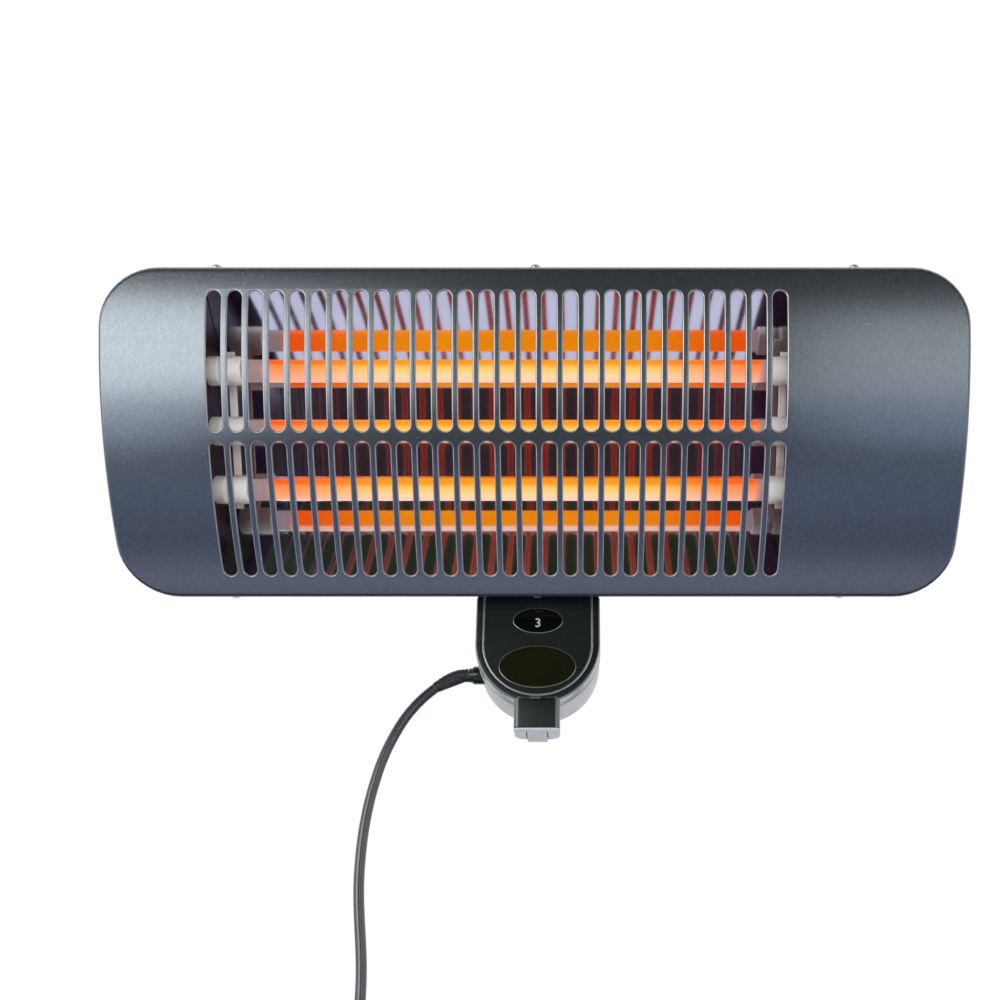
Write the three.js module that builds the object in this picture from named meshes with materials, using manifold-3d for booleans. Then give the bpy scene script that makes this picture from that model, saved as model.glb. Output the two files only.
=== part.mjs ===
// Wall-hung electric bar heater: a bowed, slotted head with three quartz tubes that tilts on a wall
// bracket, over a control box with a display, a rocker switch and a mains lead.
// Millimetres. X is to the right, the front faces -Y, Z is up, and the wall is the plane y = 0.
import * as THREE from 'three';
import { mergeVertices } from 'three/addons/utils/BufferGeometryUtils.js';
import Module from 'manifold-3d';

// General clearances
const SEAT_GAP = 0.3;            // between two pieces that are fixed together
const RUNNING_GAP = 0.3;         // round a shank, pin or bolt in its hole
const SLIDE_GAP = 0.4;           // between two side walls that slip into each other

// Head: front panel
const PANEL_WIDTH = 520;
const PANEL_BOW_RADIUS = 315;
const PANEL_HALF_ANGLE = THREE.MathUtils.degToRad(18.5);
const PANEL_CORNER_RADIUS = 34;
const PANEL_SHEET = 1.2;
const FLANGE_DEPTH = 14;
const HEAD_TILT = THREE.MathUtils.degToRad(30);
const HEAD_LOWER_EDGE_Y = -75.6745;   // of the panel's chord, before the wall
const HEAD_LOWER_EDGE_Z = -38.81;

// Head: slots of the grille, in two rows
const SLOT_COLUMNS = 28;
const BAR_WIDTH = 3.9;           // of the sheet left between two slots
const SLOT_ARC = 83.8;
const CROSSBAR_ARC = 6;
const GRILLE_MARGIN = 12;        // of the reflector, past each end of the grille
const GRILLE_SHIFT = -3.6;       // of the grille's middle, from the reflector's
const SLOT_END_SEGMENTS = 4;

// Head: rear housing
const HOUSING_DEPTH = 58;
const HOUSING_WALL = 1.2;
const HOUSING_TAPER = 26;
const HOUSING_BACK_CORNER = 20;
const HOUSING_LIP_FRONT = 2;
const VENT_COLUMNS = 7;
const VENT_PITCH = 30;
const VENT_WIDTH = 4;
const VENT_LENGTH = 26;
const VENT_Z = 42;

// Head: reflector and heating tubes
const REFLECTOR_X = -19;
const REFLECTOR_SIDES = 146;     // the panel is this much wider than the reflector
const REFLECTOR_SHEET = 0.8;
const REFLECTOR_BEHIND = 14;     // from the reflector's flat back to the housing's back
const REFLECTOR_BACK_HALF = 45;
const REFLECTOR_FLARE = THREE.MathUtils.degToRad(27.6);
const REFLECTOR_MARGIN = 11.45;   // from the reflector's mouth to the panel's upper or lower edge
const END_PLATE_SHEET = 1.2;
const TUBE_DIAMETER = 14;
const TUBE_WALL = 1.2;
const TUBE_SPACING = 37;
const TUBE_STANDOFF = 24;        // of a tube's axis, before the reflector's flat back
const TUBE_LIFT = 3.8;           // the middle tube stands this far above the panel's middle
const CAP_DIAMETER = 18;
const CAP_LENGTH = 22;
const CAP_SOCKET = 14;
const CAP_NECK_DIAMETER = 10;
const CAP_NECK_LENGTH = 8;
const COIL_DIAMETER = 8;
const COIL_WIRE = 1.4;
const COIL_CURLS = 10;
const COIL_TAIL = 4;
const RAIL_WIDTH = 5;
const RAIL_SHEET = 1.5;
const LINK_WIDTH = 8;
const LINK_SHEET = 1;

// Head: connection space to the right of the tubes
const TERMINAL_WIDTH = 22;
const TERMINAL_HEIGHT = 50;
const TERMINAL_DEPTH = 22;
const TERMINAL_MARGIN = 2;       // from the terminal block to the housing's side
const LEAD_DIAMETER = 2.8;
const LEAD_PITCH = 14;
const CUTOUT_DIAMETER = 17;
const CUTOUT_LENGTH = 9;
const CUTOUT_Z = -64;

// Screws
const PANEL_SCREW_INSET = 67;     // of an outer screw, from the panel's end
const PANEL_SCREW_HEAD = 6;
const PANEL_SCREW_RISE = 2.4;
const PANEL_SCREW_SHANK = 3;
const PANEL_SCREW_LENGTH = 7;
const BRACKET_SCREW_SPREAD = 28;
const BRACKET_SCREW_HEAD = 8;
const BRACKET_SCREW_RISE = 2.6;
const BRACKET_SCREW_SHANK = 4;
const BRACKET_SCREW_LENGTH = 8;

// Tilt joint, in the head's own frame and along the hinge line
const HINGE_BEHIND_BACK = 18;
const HINGE_DROP = 20;
const TILT_EAR_RADIUS = 11;
const TILT_EAR_X = 52;
const TILT_SHEET = 2.5;
const TILT_PLATE_TOP = 10;
const TILT_PLATE_BOTTOM = -50;
const TILT_SCREW_DROP = 38;
const ARM_SHEET = 3;
const ARM_RADIUS = 12;
const PIVOT_DIAMETER = 6;
const PIVOT_HEAD_WIDTH = 11;
const PIVOT_HEAD_LENGTH = 4;
const KNOB_RADIUS = 13;
const KNOB_LOBES = 6;
const KNOB_LOBE_DEPTH = 1.6;
const KNOB_LENGTH = 16;
const KNOB_CROWN = 3;

// Wall bracket
const BRACKET_SHEET = 3;
const BRACKET_HALF_WIDTH = 70;
const BRACKET_TOP = 104;
const BRACKET_SHOULDER = 4;
const BRACKET_STEM_HALF_WIDTH = 36;
const BRACKET_STEM_BOTTOM = -80;
const KEYHOLE_X = 48;
const KEYHOLE_Z = 84;
const KEYHOLE_HEAD = 9;
const KEYHOLE_SLOT = 5;
const KEYHOLE_RISE = 9;

// Control box
const BOX_HALF_WIDTH = 40.7;
const BOX_TOP = -32;
const BOX_BOTTOM = -103.2;
const BOX_FRONT_Y = -57;
const BOX_WALL = 2;
const BOX_TOP_RADIUS = 3;
const COVER_DEPTH = 15;
const RIM_INSET = 4.9;
const RIM_WIDTH = 1.6;
const RIM_RISE = 0.8;
const DISPLAY_WIDTH = 32.6;
const DISPLAY_HEIGHT = 17.5;
const DISPLAY_Z = -47.7;
const RECEIVER_WIDTH = 49.4;
const RECEIVER_HEIGHT = 28.1;
const RECEIVER_Z = -78.9;
const WINDOW_LIP = 1.2;
const WINDOW_LIP_DEPTH = 1;
const WINDOW_RISE = 0.4;
const DIGIT_HEIGHT = 6.4;
const DIGIT_WIDTH = 4.4;
const DIGIT_STROKE = 1.1;
const DIGIT_DEPTH = 0.3;
const DIGIT_DROP = 1.6;
const BOARD_WIDTH = 56;
const BOARD_HEIGHT = 46;
const BOARD_SHEET = 1.6;
const BOARD_Y = -34;
const BOARD_Z = -66;
const POST_DIAMETER = 6;
const POST_INSET = 5;
const RELAY_WIDTH = 19;
const RELAY_HEIGHT = 15;
const RELAY_DEPTH = 11;
const BOX_SCREW_SPREAD = 16;
const BOX_SCREW_Z = -62;
const BOX_SCREW_HEAD = 8;
const BOX_SCREW_RISE = 2.6;
const BOX_SCREW_SHANK = 4;

// Switch block under the box
const SWITCH_WIDTH = 29;
const SWITCH_DEPTH = 27;
const SWITCH_BOTTOM = -118.4;
const SWITCH_CORNER = 6;
const BEZEL_SHEET = 1.4;
const ROCKER_WIDTH = 12.8;
const ROCKER_LENGTH = 17;
const ROCKER_PIVOT_DIAMETER = 2.4;
const ROCKER_PIN_REACH = 2.6;    // of the pivot's pins, past the rocker's sides
const ROCKER_FACE = 4.2;         // from the pivot to the middle of the rocker's face
const ROCKER_ANGLE = THREE.MathUtils.degToRad(8);
const ROCKER_GAP = 0.6;
const ROCKER_PIVOT_RISE = 3.8;   // above the bezel's face
const ROCKER_Y = -42;

// Leads
const CORD_DIAMETER = 6.8;
const GLAND_Y = -30;
const GLAND_Z = -76.7;
const GLAND_FLANGE_DIAMETER = 12;
const GLAND_FLANGE_LENGTH = 2.2;
const GLAND_DIAMETER = 10.4;
const GLAND_LENGTH = 5.4;
const GLAND_SPIGOT_DIAMETER = 8;
const GLAND_SPIGOT_REACH = 4;    // past the inside of the box's wall
const INNER_LEAD_DIAMETER = 5;
const INNER_LEAD_BEND = 15;
const INNER_LEAD_X = 24;         // the two inner leads meet here, on the hinge line
const INNER_LEAD_BOX_X = -14;
const INNER_LEAD_BOX_Y = -20;
const CORD_SIDES = 8;

// The lead's free stretch from the gland, chosen by hand, and its coil, tie and plug
const CORD_ROUTE = [
  [-52.4, -30, -77.0], [-58.3, -30, -79.0], [-64.1, -30, -82.4], [-71.1, -30, -87.8],
  [-77.4, -30, -93.7], [-83.0, -30, -100.2], [-87.8, -30, -107.0], [-94.8, -30, -120.3],
  [-100.0, -30, -133.4], [-103.6, -30, -146.4], [-106.3, -30, -159.1], [-108.1, -30, -171.7],
  [-109.2, -30, -184.1], [-109.6, -30, -196.3], [-109.5, -30, -208.4], [-108.7, -30, -220.3],
  [-107.4, -30, -232.0], [-105.9, -30, -243.6], [-104.6, -30, -255.0], [-103.8, -30, -266.0],
  [-103.5, -30, -277.0],
];
const RING_LOOPS = 5;
const RING_OUTER_RADIUS = 47;
const RING_STEP = 7.6;           // between neighbouring turns of one layer
const RING_LAYER_STEP = 7.8;     // between the two layers
const RING_ENTRY = THREE.MathUtils.degToRad(120);
const RING_LEAD_BEND = 30;
const RING_LEAD_STRAIGHT = 12;
const RING_TAIL = 52;
const RING_STEPS_PER_LOOP = 24;
const RING_SIDES = 6;
const TIE_WIDTH = 12;
const TIE_WALL = 1.4;
const TIE_GAP = 0.5;
const PLUG_DIAMETER = 36;
const PLUG_LENGTH = 34;
const PLUG_NECK_DIAMETER = 14;
const PLUG_NECK_LENGTH = 14;
const PLUG_PIN_DIAMETER = 4.8;
const PLUG_PIN_LENGTH = 19;
const PLUG_PIN_SEAT = 8;         // depth of a pin's hole in the plug
const PLUG_PIN_SPACING = 19;

// Sizes that follow from those above
const PANEL_HALF_HEIGHT = PANEL_BOW_RADIUS * Math.sin(PANEL_HALF_ANGLE);
const BOW_CENTRE_Y = PANEL_BOW_RADIUS * Math.cos(PANEL_HALF_ANGLE);
const HEAD_CENTRE_Y = HEAD_LOWER_EDGE_Y - PANEL_HALF_HEIGHT * Math.sin(HEAD_TILT);
const HEAD_CENTRE_Z = HEAD_LOWER_EDGE_Z + PANEL_HALF_HEIGHT * Math.cos(HEAD_TILT);
const LIP_HALF_WIDTH = PANEL_WIDTH / 2 - PANEL_SHEET - SLIDE_GAP;
const LIP_HALF_HEIGHT = PANEL_HALF_HEIGHT - PANEL_SHEET - SLIDE_GAP;
const LIP_CORNER = PANEL_CORNER_RADIUS - PANEL_SHEET - SLIDE_GAP;
const HOUSING_INNER_BACK = HOUSING_DEPTH - HOUSING_WALL;
const PANEL_SCREW_SPREAD = PANEL_WIDTH / 2 - PANEL_SCREW_INSET;
const REFLECTOR_WIDTH = PANEL_WIDTH - REFLECTOR_SIDES;
const REFLECTOR_BACK_Y = HOUSING_DEPTH - REFLECTOR_BEHIND;
const REFLECTOR_MOUTH_HALF = PANEL_HALF_HEIGHT - REFLECTOR_MARGIN;
const SLOT_PITCH = (REFLECTOR_WIDTH - 2 * GRILLE_MARGIN) / SLOT_COLUMNS;
const SLOT_WIDTH = SLOT_PITCH - BAR_WIDTH;
const GRILLE_X = REFLECTOR_X + GRILLE_SHIFT;
const TUBE_Y = REFLECTOR_BACK_Y - TUBE_STANDOFF;
const HINGE_Y = HOUSING_DEPTH + HINGE_BEHIND_BACK;
const TUBE_LENGTH = REFLECTOR_WIDTH - 2 * (CAP_LENGTH - CAP_SOCKET) - 4 * SEAT_GAP;
const ARM_X = TILT_EAR_X + TILT_SHEET + SLIDE_GAP;
const KNOB_X = ARM_X + ARM_SHEET + SLIDE_GAP;
const BOX_REAR_Y = -BRACKET_SHEET - SEAT_GAP;
const COVER_REAR_Y = BOX_FRONT_Y + COVER_DEPTH;
const SWITCH_FRONT_Y = BOX_FRONT_Y;
const BEZEL_FACE_Z = SWITCH_BOTTOM - SEAT_GAP - BEZEL_SHEET;
const ROCKER_PIVOT_Z = BEZEL_FACE_Z + ROCKER_PIVOT_RISE;
const GLAND_TIP_X = -BOX_HALF_WIDTH - SEAT_GAP - GLAND_LENGTH;
const GLAND_INSIDE = BOX_HALF_WIDTH - BOX_WALL - GLAND_SPIGOT_REACH;
const RING_INNER_RADIUS = RING_OUTER_RADIUS - (RING_STEP * RING_LOOPS) / 2;

const wasm = await Module();
wasm.setup();

// ---- Joining and cutting -------------------------------------------------------------------

function toBody(geometry) {
  const bare = new THREE.BufferGeometry();
  bare.setAttribute('position', geometry.getAttribute('position'));
  if (geometry.index) {
    bare.setIndex(geometry.index);
  }
  const welded = mergeVertices(bare, 1e-4);
  const mesh = new wasm.Mesh({
    numProp: 3,
    vertProperties: new Float32Array(welded.getAttribute('position').array),
    triVerts: new Uint32Array(welded.index.array),
  });
  return new wasm.Manifold(mesh);
}

function toGeometry(body) {
  const mesh = body.getMesh();
  const geometry = new THREE.BufferGeometry();
  geometry.setAttribute('position', new THREE.BufferAttribute(new Float32Array(mesh.vertProperties), 3));
  geometry.setIndex(new THREE.BufferAttribute(new Uint32Array(mesh.triVerts), 1));
  return geometry;
}

function cut(geometry, tools) {
  const body = tools.reduce((left, tool) => left.subtract(toBody(tool)), toBody(geometry));
  return toGeometry(body);
}

function join(geometries) {
  const [first, ...others] = geometries;
  const body = others.reduce((whole, piece) => whole.add(toBody(piece)), toBody(first));
  return toGeometry(body);
}

function common(geometry, other) {
  return toGeometry(toBody(geometry).intersect(toBody(other)));
}

// ---- Outlines and solids -------------------------------------------------------------------

function point(x, y) {
  return new THREE.Vector2(x, y);
}

// A rounded rectangle, anticlockwise, with its own radius for the lower and the upper corners.
function roundedOutline(halfWidth, bottom, top, lowerRadius, upperRadius, segments) {
  const corners = [
    [halfWidth - lowerRadius, bottom + lowerRadius, lowerRadius, -90],
    [halfWidth - upperRadius, top - upperRadius, upperRadius, 0],
    [upperRadius - halfWidth, top - upperRadius, upperRadius, 90],
    [lowerRadius - halfWidth, bottom + lowerRadius, lowerRadius, 180],
  ];
  return corners.flatMap(([x, y, radius, start]) => {
    return Array.from({ length: segments + 1 }, (_, i) => {
      const angle = THREE.MathUtils.degToRad(start + (90 * i) / segments);
      return point(x + radius * Math.cos(angle), y + radius * Math.sin(angle));
    });
  });
}

function ellipseOutline(width, height, segments) {
  return Array.from({ length: segments }, (_, i) => {
    const angle = (2 * Math.PI * i) / segments;
    return point((width / 2) * Math.cos(angle), (height / 2) * Math.sin(angle));
  });
}

function circleOutline(radius, segments) {
  return ellipseOutline(2 * radius, 2 * radius, segments);
}

// A slot with round ends: one at the bottom and one at the top.
function slotOutline(x, bottom, top, width, segments) {
  const radius = width / 2;
  const end = (y, start) => Array.from({ length: segments + 1 }, (_, i) => {
    const angle = start + (Math.PI * i) / segments;
    return point(x + radius * Math.cos(angle), y + radius * Math.sin(angle));
  });
  return [...end(bottom + radius, Math.PI), ...end(top - radius, 0)];
}

// The outline of a bent sheet: a line of points and the same line moved sideways by the thickness.
function sheetOutline(line, thickness) {
  const moved = line.map((here, i) => {
    const before = line[Math.max(i - 1, 0)];
    const after = line[Math.min(i + 1, line.length - 1)];
    const normals = [[before, here], [here, after]]
      .filter(([a, b]) => a !== b)
      .map(([a, b]) => point(b.y - a.y, a.x - b.x).normalize());
    const middle = normals.reduce((sum, n) => sum.add(n), point(0, 0)).normalize();
    return here.clone().addScaledVector(middle, thickness / middle.dot(normals[0]));
  });
  return [...line, ...moved.reverse()];
}

function moveOutline(outline, x, y) {
  return outline.map((p) => point(p.x + x, p.y + y));
}

// An outline in X and Z, made solid from one depth to another.
function depthSolid(outline, front, back) {
  const shape = new THREE.Shape(outline);
  const geometry = new THREE.ExtrudeGeometry(shape, { depth: back - front, bevelEnabled: false });
  geometry.rotateX(Math.PI / 2);
  geometry.translate(0, back, 0);
  return geometry;
}

// An outline in Y and Z, made solid from one X to another.
function sideSolid(outline, left, right) {
  const shape = new THREE.Shape(outline);
  const geometry = new THREE.ExtrudeGeometry(shape, { depth: right - left, bevelEnabled: false });
  geometry.applyMatrix4(new THREE.Matrix4().makeBasis(
    new THREE.Vector3(0, 1, 0), new THREE.Vector3(0, 0, 1), new THREE.Vector3(1, 0, 0),
  ));
  geometry.translate(left, 0, 0);
  return geometry;
}

// An outline in X and Y, made solid from one height to another.
function heightSolid(outline, bottom, top) {
  const shape = new THREE.Shape(outline);
  const geometry = new THREE.ExtrudeGeometry(shape, { depth: top - bottom, bevelEnabled: false });
  geometry.translate(0, 0, bottom);
  return geometry;
}

// A solid through outlines with equally many points, each at its own depth.
function loftSolid(sections) {
  const count = sections[0].outline.length;
  const positions = sections.flatMap(({ outline, y }) => outline.flatMap((p) => [p.x, y, p.y]));
  const index = [];
  for (let s = 0; s + 1 < sections.length; s += 1) {
    for (let i = 0; i < count; i += 1) {
      const next = (i + 1) % count;
      const front = s * count;
      const back = front + count;
      index.push(front + i, back + i, back + next);
      index.push(front + i, back + next, front + next);
    }
  }
  const rear = (sections.length - 1) * count;
  THREE.ShapeUtils.triangulateShape(sections[0].outline, []).forEach(([a, b, c]) => {
    index.push(a, b, c);
  });
  THREE.ShapeUtils.triangulateShape(sections.at(-1).outline, []).forEach(([a, b, c]) => {
    index.push(rear + c, rear + b, rear + a);
  });
  const geometry = new THREE.BufferGeometry();
  geometry.setAttribute('position', new THREE.Float32BufferAttribute(positions, 3));
  geometry.setIndex(index);
  return geometry;
}

function boxSolid(width, depth, height, x, y, z) {
  const geometry = new THREE.BoxGeometry(width, depth, height);
  geometry.translate(x, y, z);
  return geometry;
}

// A turned solid. Its profile is radius and length pairs, and its axis is turned from +Y to the direction.
function turned(profile, direction, segments) {
  const geometry = new THREE.LatheGeometry(profile.map(([r, l]) => point(r, l)), segments);
  const turn = new THREE.Quaternion().setFromUnitVectors(new THREE.Vector3(0, 1, 0), direction);
  geometry.applyQuaternion(turn);
  return geometry;
}

function rod(radius, start, end, direction, segments) {
  return turned([[0, start], [radius, start], [radius, end], [0, end]], direction, segments);
}

function tubeAlong(points, diameter, sides, steps) {
  const path = new THREE.CatmullRomCurve3(points.map((p) => new THREE.Vector3(...p)), false, 'centripetal');
  const shape = new THREE.Shape(circleOutline(diameter / 2, sides));
  return new THREE.ExtrudeGeometry(shape, { steps, extrudePath: path, bevelEnabled: false });
}

// A solid round tube through a line of points, one ring of corners to each point, closed at both ends.
function woundTube(points, radius, sides) {
  const line = points.map((p) => new THREE.Vector3(...p));
  const positions = [];
  const index = [];
  let across = new THREE.Vector3(0, 1, 0);
  line.forEach((here, i) => {
    const before = line[Math.max(i - 1, 0)];
    const after = line[Math.min(i + 1, line.length - 1)];
    const along = after.clone().sub(before).normalize();
    across = across.clone().addScaledVector(along, -across.dot(along)).normalize();
    const other = along.clone().cross(across);
    for (let k = 0; k < sides; k += 1) {
      const angle = (2 * Math.PI * k) / sides;
      const corner = here.clone()
        .addScaledVector(across, radius * Math.cos(angle))
        .addScaledVector(other, radius * Math.sin(angle));
      positions.push(corner.x, corner.y, corner.z);
    }
  });
  for (let i = 0; i + 1 < line.length; i += 1) {
    for (let k = 0; k < sides; k += 1) {
      const next = (k + 1) % sides;
      const near = i * sides;
      const far = near + sides;
      index.push(near + k, near + next, far + next);
      index.push(near + k, far + next, far + k);
    }
  }
  const last = (line.length - 1) * sides;
  for (let k = 1; k + 1 < sides; k += 1) {
    index.push(0, k + 1, k);
    index.push(last, last + k, last + k + 1);
  }
  const geometry = new THREE.BufferGeometry();
  geometry.setAttribute('position', new THREE.Float32BufferAttribute(positions, 3));
  geometry.setIndex(index);
  return geometry;
}

// The least distance between the surfaces of two stretches of one tube that aren't neighbours.
function leastGap(points, radius) {
  const line = points.map((p) => new THREE.Vector3(...p));
  const lengths = [0];
  for (let i = 1; i < line.length; i += 1) {
    lengths.push(lengths[i - 1] + line[i].distanceTo(line[i - 1]));
  }
  let least = Infinity;
  for (let i = 0; i < line.length; i += 1) {
    for (let j = i + 1; j < line.length; j += 1) {
      if (lengths[j] - lengths[i] > 6 * radius) {
        least = Math.min(least, line[i].distanceTo(line[j]));
      }
    }
  }
  return least - 2 * radius;
}

function lineLength(points) {
  return points.slice(1).reduce((sum, p, i) => {
    return sum + new THREE.Vector3(...p).distanceTo(new THREE.Vector3(...points[i]));
  }, 0);
}

// ---- Pieces and materials ------------------------------------------------------------------

const RIGHT = new THREE.Vector3(1, 0, 0);
const LEFT = new THREE.Vector3(-1, 0, 0);
const UP = new THREE.Vector3(0, 0, 1);
const DOWN = new THREE.Vector3(0, 0, -1);
const BACK = new THREE.Vector3(0, 1, 0);
const FRONT = new THREE.Vector3(0, -1, 0);

const LOOKS = {
  panel: [0x565b63, 0.55, 0.42],
  housing: [0x1b1c1e, 0.3, 0.55],
  mirror: [0xd4d6da, 1.0, 0.14],
  steel: [0xb4b7bb, 0.9, 0.35],
  ceramic: [0xe9e6de, 0.0, 0.6],
  quartz: [0xffd9a0, 0.0, 0.3],
  wire: [0xc8682f, 0.8, 0.4],
  insulation: [0xd8d2c4, 0.0, 0.8],
  black: [0x141516, 0.0, 0.4],
  glass: [0x0b0d0e, 0.0, 0.08],
  pale: [0xc9ccd2, 0.0, 0.45],
  board: [0x2b5a36, 0.0, 0.6],
  blue: [0x2f5f9e, 0.0, 0.5],
  cord: [0x1c1d1f, 0.0, 0.5],
  brass: [0xc9a24a, 0.9, 0.3],
};

function piece(parent, name, look, geometry) {
  const [color, metalness, roughness] = LOOKS[look];
  const flat = geometry.index ? geometry.toNonIndexed() : geometry;
  flat.computeVertexNormals();
  const mesh = new THREE.Mesh(flat, new THREE.MeshStandardMaterial({ color, metalness, roughness }));
  mesh.name = name;
  parent.add(mesh);
  return mesh;
}

// A screw with a domed head. It stands on the origin, its head along the direction and its shank behind.
function screwSolid(headDiameter, rise, shankDiameter, length, direction) {
  const head = headDiameter / 2;
  const shank = shankDiameter / 2;
  const profile = [
    [0, -length], [shank, -length], [shank, 0], [head, 0],
    [head, rise * 0.45], [head * 0.7, rise * 0.88], [0, rise],
  ];
  return turned(profile, direction, 10);
}

// ---- The head, in its own frame: X right, Y into the head, Z up along the panel --------------

// Depth of a bowed surface at a height, for the panel's outside radius less an inset.
function bowDepth(z, inset) {
  const radius = PANEL_BOW_RADIUS - inset;
  return BOW_CENTRE_Y - Math.sqrt(radius * radius - z * z);
}

// Everything behind a bowed surface, as far back as a given depth.
function bowedBlock(inset, halfWidth, back) {
  const reach = PANEL_HALF_HEIGHT + 4;
  const steps = 10;
  const bow = Array.from({ length: steps + 1 }, (_, i) => {
    const z = reach - (2 * reach * i) / steps;
    return point(bowDepth(z, inset), z);
  });
  return sideSolid([...bow, point(back, -reach), point(back, reach)], -halfWidth, halfWidth);
}

function panelShell(inset, back) {
  const halfWidth = PANEL_WIDTH / 2 - inset;
  const halfHeight = PANEL_HALF_HEIGHT - inset;
  const corner = PANEL_CORNER_RADIUS - inset;
  const outline = roundedOutline(halfWidth, -halfHeight, halfHeight, corner, corner, 7);
  const prism = depthSolid(outline, bowDepth(0, 0) - 2, back);
  return common(prism, bowedBlock(inset, PANEL_WIDTH / 2, back));
}

function slotColumns() {
  const first = GRILLE_X - ((SLOT_COLUMNS - 1) / 2) * SLOT_PITCH;
  return Array.from({ length: SLOT_COLUMNS }, (_, i) => first + i * SLOT_PITCH);
}

function slotCutters() {
  const height = (arc) => PANEL_BOW_RADIUS * Math.sin(arc / PANEL_BOW_RADIUS);
  const low = height(CROSSBAR_ARC / 2);
  const high = height(CROSSBAR_ARC / 2 + SLOT_ARC);
  const front = bowDepth(0, 0) - 2;
  const back = bowDepth(high, PANEL_SHEET) + 2;
  return slotColumns().flatMap((x) => [[low, high], [-high, -low]].map(([bottom, top]) => {
    return depthSolid(slotOutline(x, bottom, top, SLOT_WIDTH, SLOT_END_SEGMENTS), front, back);
  }));
}

const panelScrewX = [-PANEL_SCREW_SPREAD, 0, PANEL_SCREW_SPREAD];
const panelScrewY = FLANGE_DEPTH * 0.6;

function panelScrewHoles(radius) {
  return panelScrewX.map((x) => {
    const hole = rod(radius, -PANEL_HALF_HEIGHT - 3, PANEL_HALF_HEIGHT + 3, UP, 10);
    hole.translate(x, panelScrewY, 0);
    return hole;
  });
}

function buildFrontPanel(head) {
  const shell = cut(panelShell(0, FLANGE_DEPTH), [panelShell(PANEL_SHEET, FLANGE_DEPTH + 1)]);
  const holes = panelScrewHoles(PANEL_SCREW_SHANK / 2 + RUNNING_GAP);
  piece(head, 'front_panel', 'panel', cut(shell, [...slotCutters(), ...holes]));
}

// The housing's outline at a depth: straight inside the panel's flange, then drawn in to the back.
function housingSection(y, inset) {
  const start = FLANGE_DEPTH + SEAT_GAP;
  const drawn = Math.max(0, (y - start) / (HOUSING_DEPTH - start));
  const halfWidth = LIP_HALF_WIDTH - HOUSING_TAPER * drawn - inset;
  const halfHeight = LIP_HALF_HEIGHT - HOUSING_TAPER * drawn - inset;
  const corner = THREE.MathUtils.lerp(LIP_CORNER, HOUSING_BACK_CORNER, drawn) - inset;
  return { y, outline: roundedOutline(halfWidth, -halfHeight, halfHeight, corner, corner, 5) };
}

function housingHalfHeight(y) {
  return Math.max(...housingSection(y, HOUSING_WALL).outline.map((p) => p.y));
}

function housingHalfWidth(y) {
  return Math.max(...housingSection(y, HOUSING_WALL).outline.map((p) => p.x));
}

function ventCutters() {
  const first = -((VENT_COLUMNS - 1) / 2) * VENT_PITCH;
  return Array.from({ length: VENT_COLUMNS }, (_, i) => {
    const outline = slotOutline(
      first + i * VENT_PITCH, VENT_Z - VENT_LENGTH / 2, VENT_Z + VENT_LENGTH / 2, VENT_WIDTH, 3,
    );
    return depthSolid(outline, HOUSING_INNER_BACK - 1, HOUSING_DEPTH + 1);
  });
}

// Where the lead from the control box enters the head.
function leadEntryHole(radius, front, back) {
  const outline = moveOutline(circleOutline(radius, 12), INNER_LEAD_X + 2 + INNER_LEAD_BEND, -HINGE_DROP);
  return depthSolid(outline, front, back);
}

function bracketScrewHoles(front, back) {
  return [-BRACKET_SCREW_SPREAD, BRACKET_SCREW_SPREAD].map((x) => {
    const outline = circleOutline(BRACKET_SCREW_SHANK / 2 + RUNNING_GAP, 10);
    return depthSolid(moveOutline(outline, x, -TILT_SCREW_DROP), front, back);
  });
}

function buildRearHousing(head) {
  const start = FLANGE_DEPTH + SEAT_GAP;
  const outside = loftSolid([
    housingSection(HOUSING_LIP_FRONT, 0), housingSection(start, 0), housingSection(HOUSING_DEPTH, 0),
  ]);
  const inside = loftSolid([
    housingSection(HOUSING_LIP_FRONT - 1, HOUSING_WALL),
    housingSection(start, HOUSING_WALL),
    housingSection(HOUSING_INNER_BACK, HOUSING_WALL),
  ]);
  const back = [HOUSING_INNER_BACK - 1, HOUSING_DEPTH + 1];
  const tools = [
    inside,
    ...ventCutters(),
    ...panelScrewHoles(PANEL_SCREW_SHANK / 2 + RUNNING_GAP),
    ...bracketScrewHoles(...back),
    leadEntryHole(INNER_LEAD_DIAMETER / 2 + RUNNING_GAP, ...back),
  ];
  piece(head, 'rear_housing', 'housing', cut(outside, tools));
}

function buildPanelScrews(head) {
  const names = ['left', 'centre', 'right'];
  const seat = PANEL_HALF_HEIGHT + SEAT_GAP;
  const solid = (direction) => screwSolid(
    PANEL_SCREW_HEAD, PANEL_SCREW_RISE, PANEL_SCREW_SHANK, PANEL_SCREW_LENGTH, direction,
  );
  panelScrewX.forEach((x, i) => {
    piece(head, `top_screw_${names[i]}`, 'steel', solid(UP)).position.set(x, panelScrewY, seat);
    piece(head, `bottom_screw_${names[i]}`, 'steel', solid(DOWN)).position.set(x, panelScrewY, -seat);
  });
}

// Depth of the reflector's side where it meets a height above or below the flat back.
function flareDepth(z) {
  const run = Math.abs(z - TUBE_LIFT) - REFLECTOR_BACK_HALF;
  return REFLECTOR_BACK_Y - run * Math.tan(REFLECTOR_FLARE);
}

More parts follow.
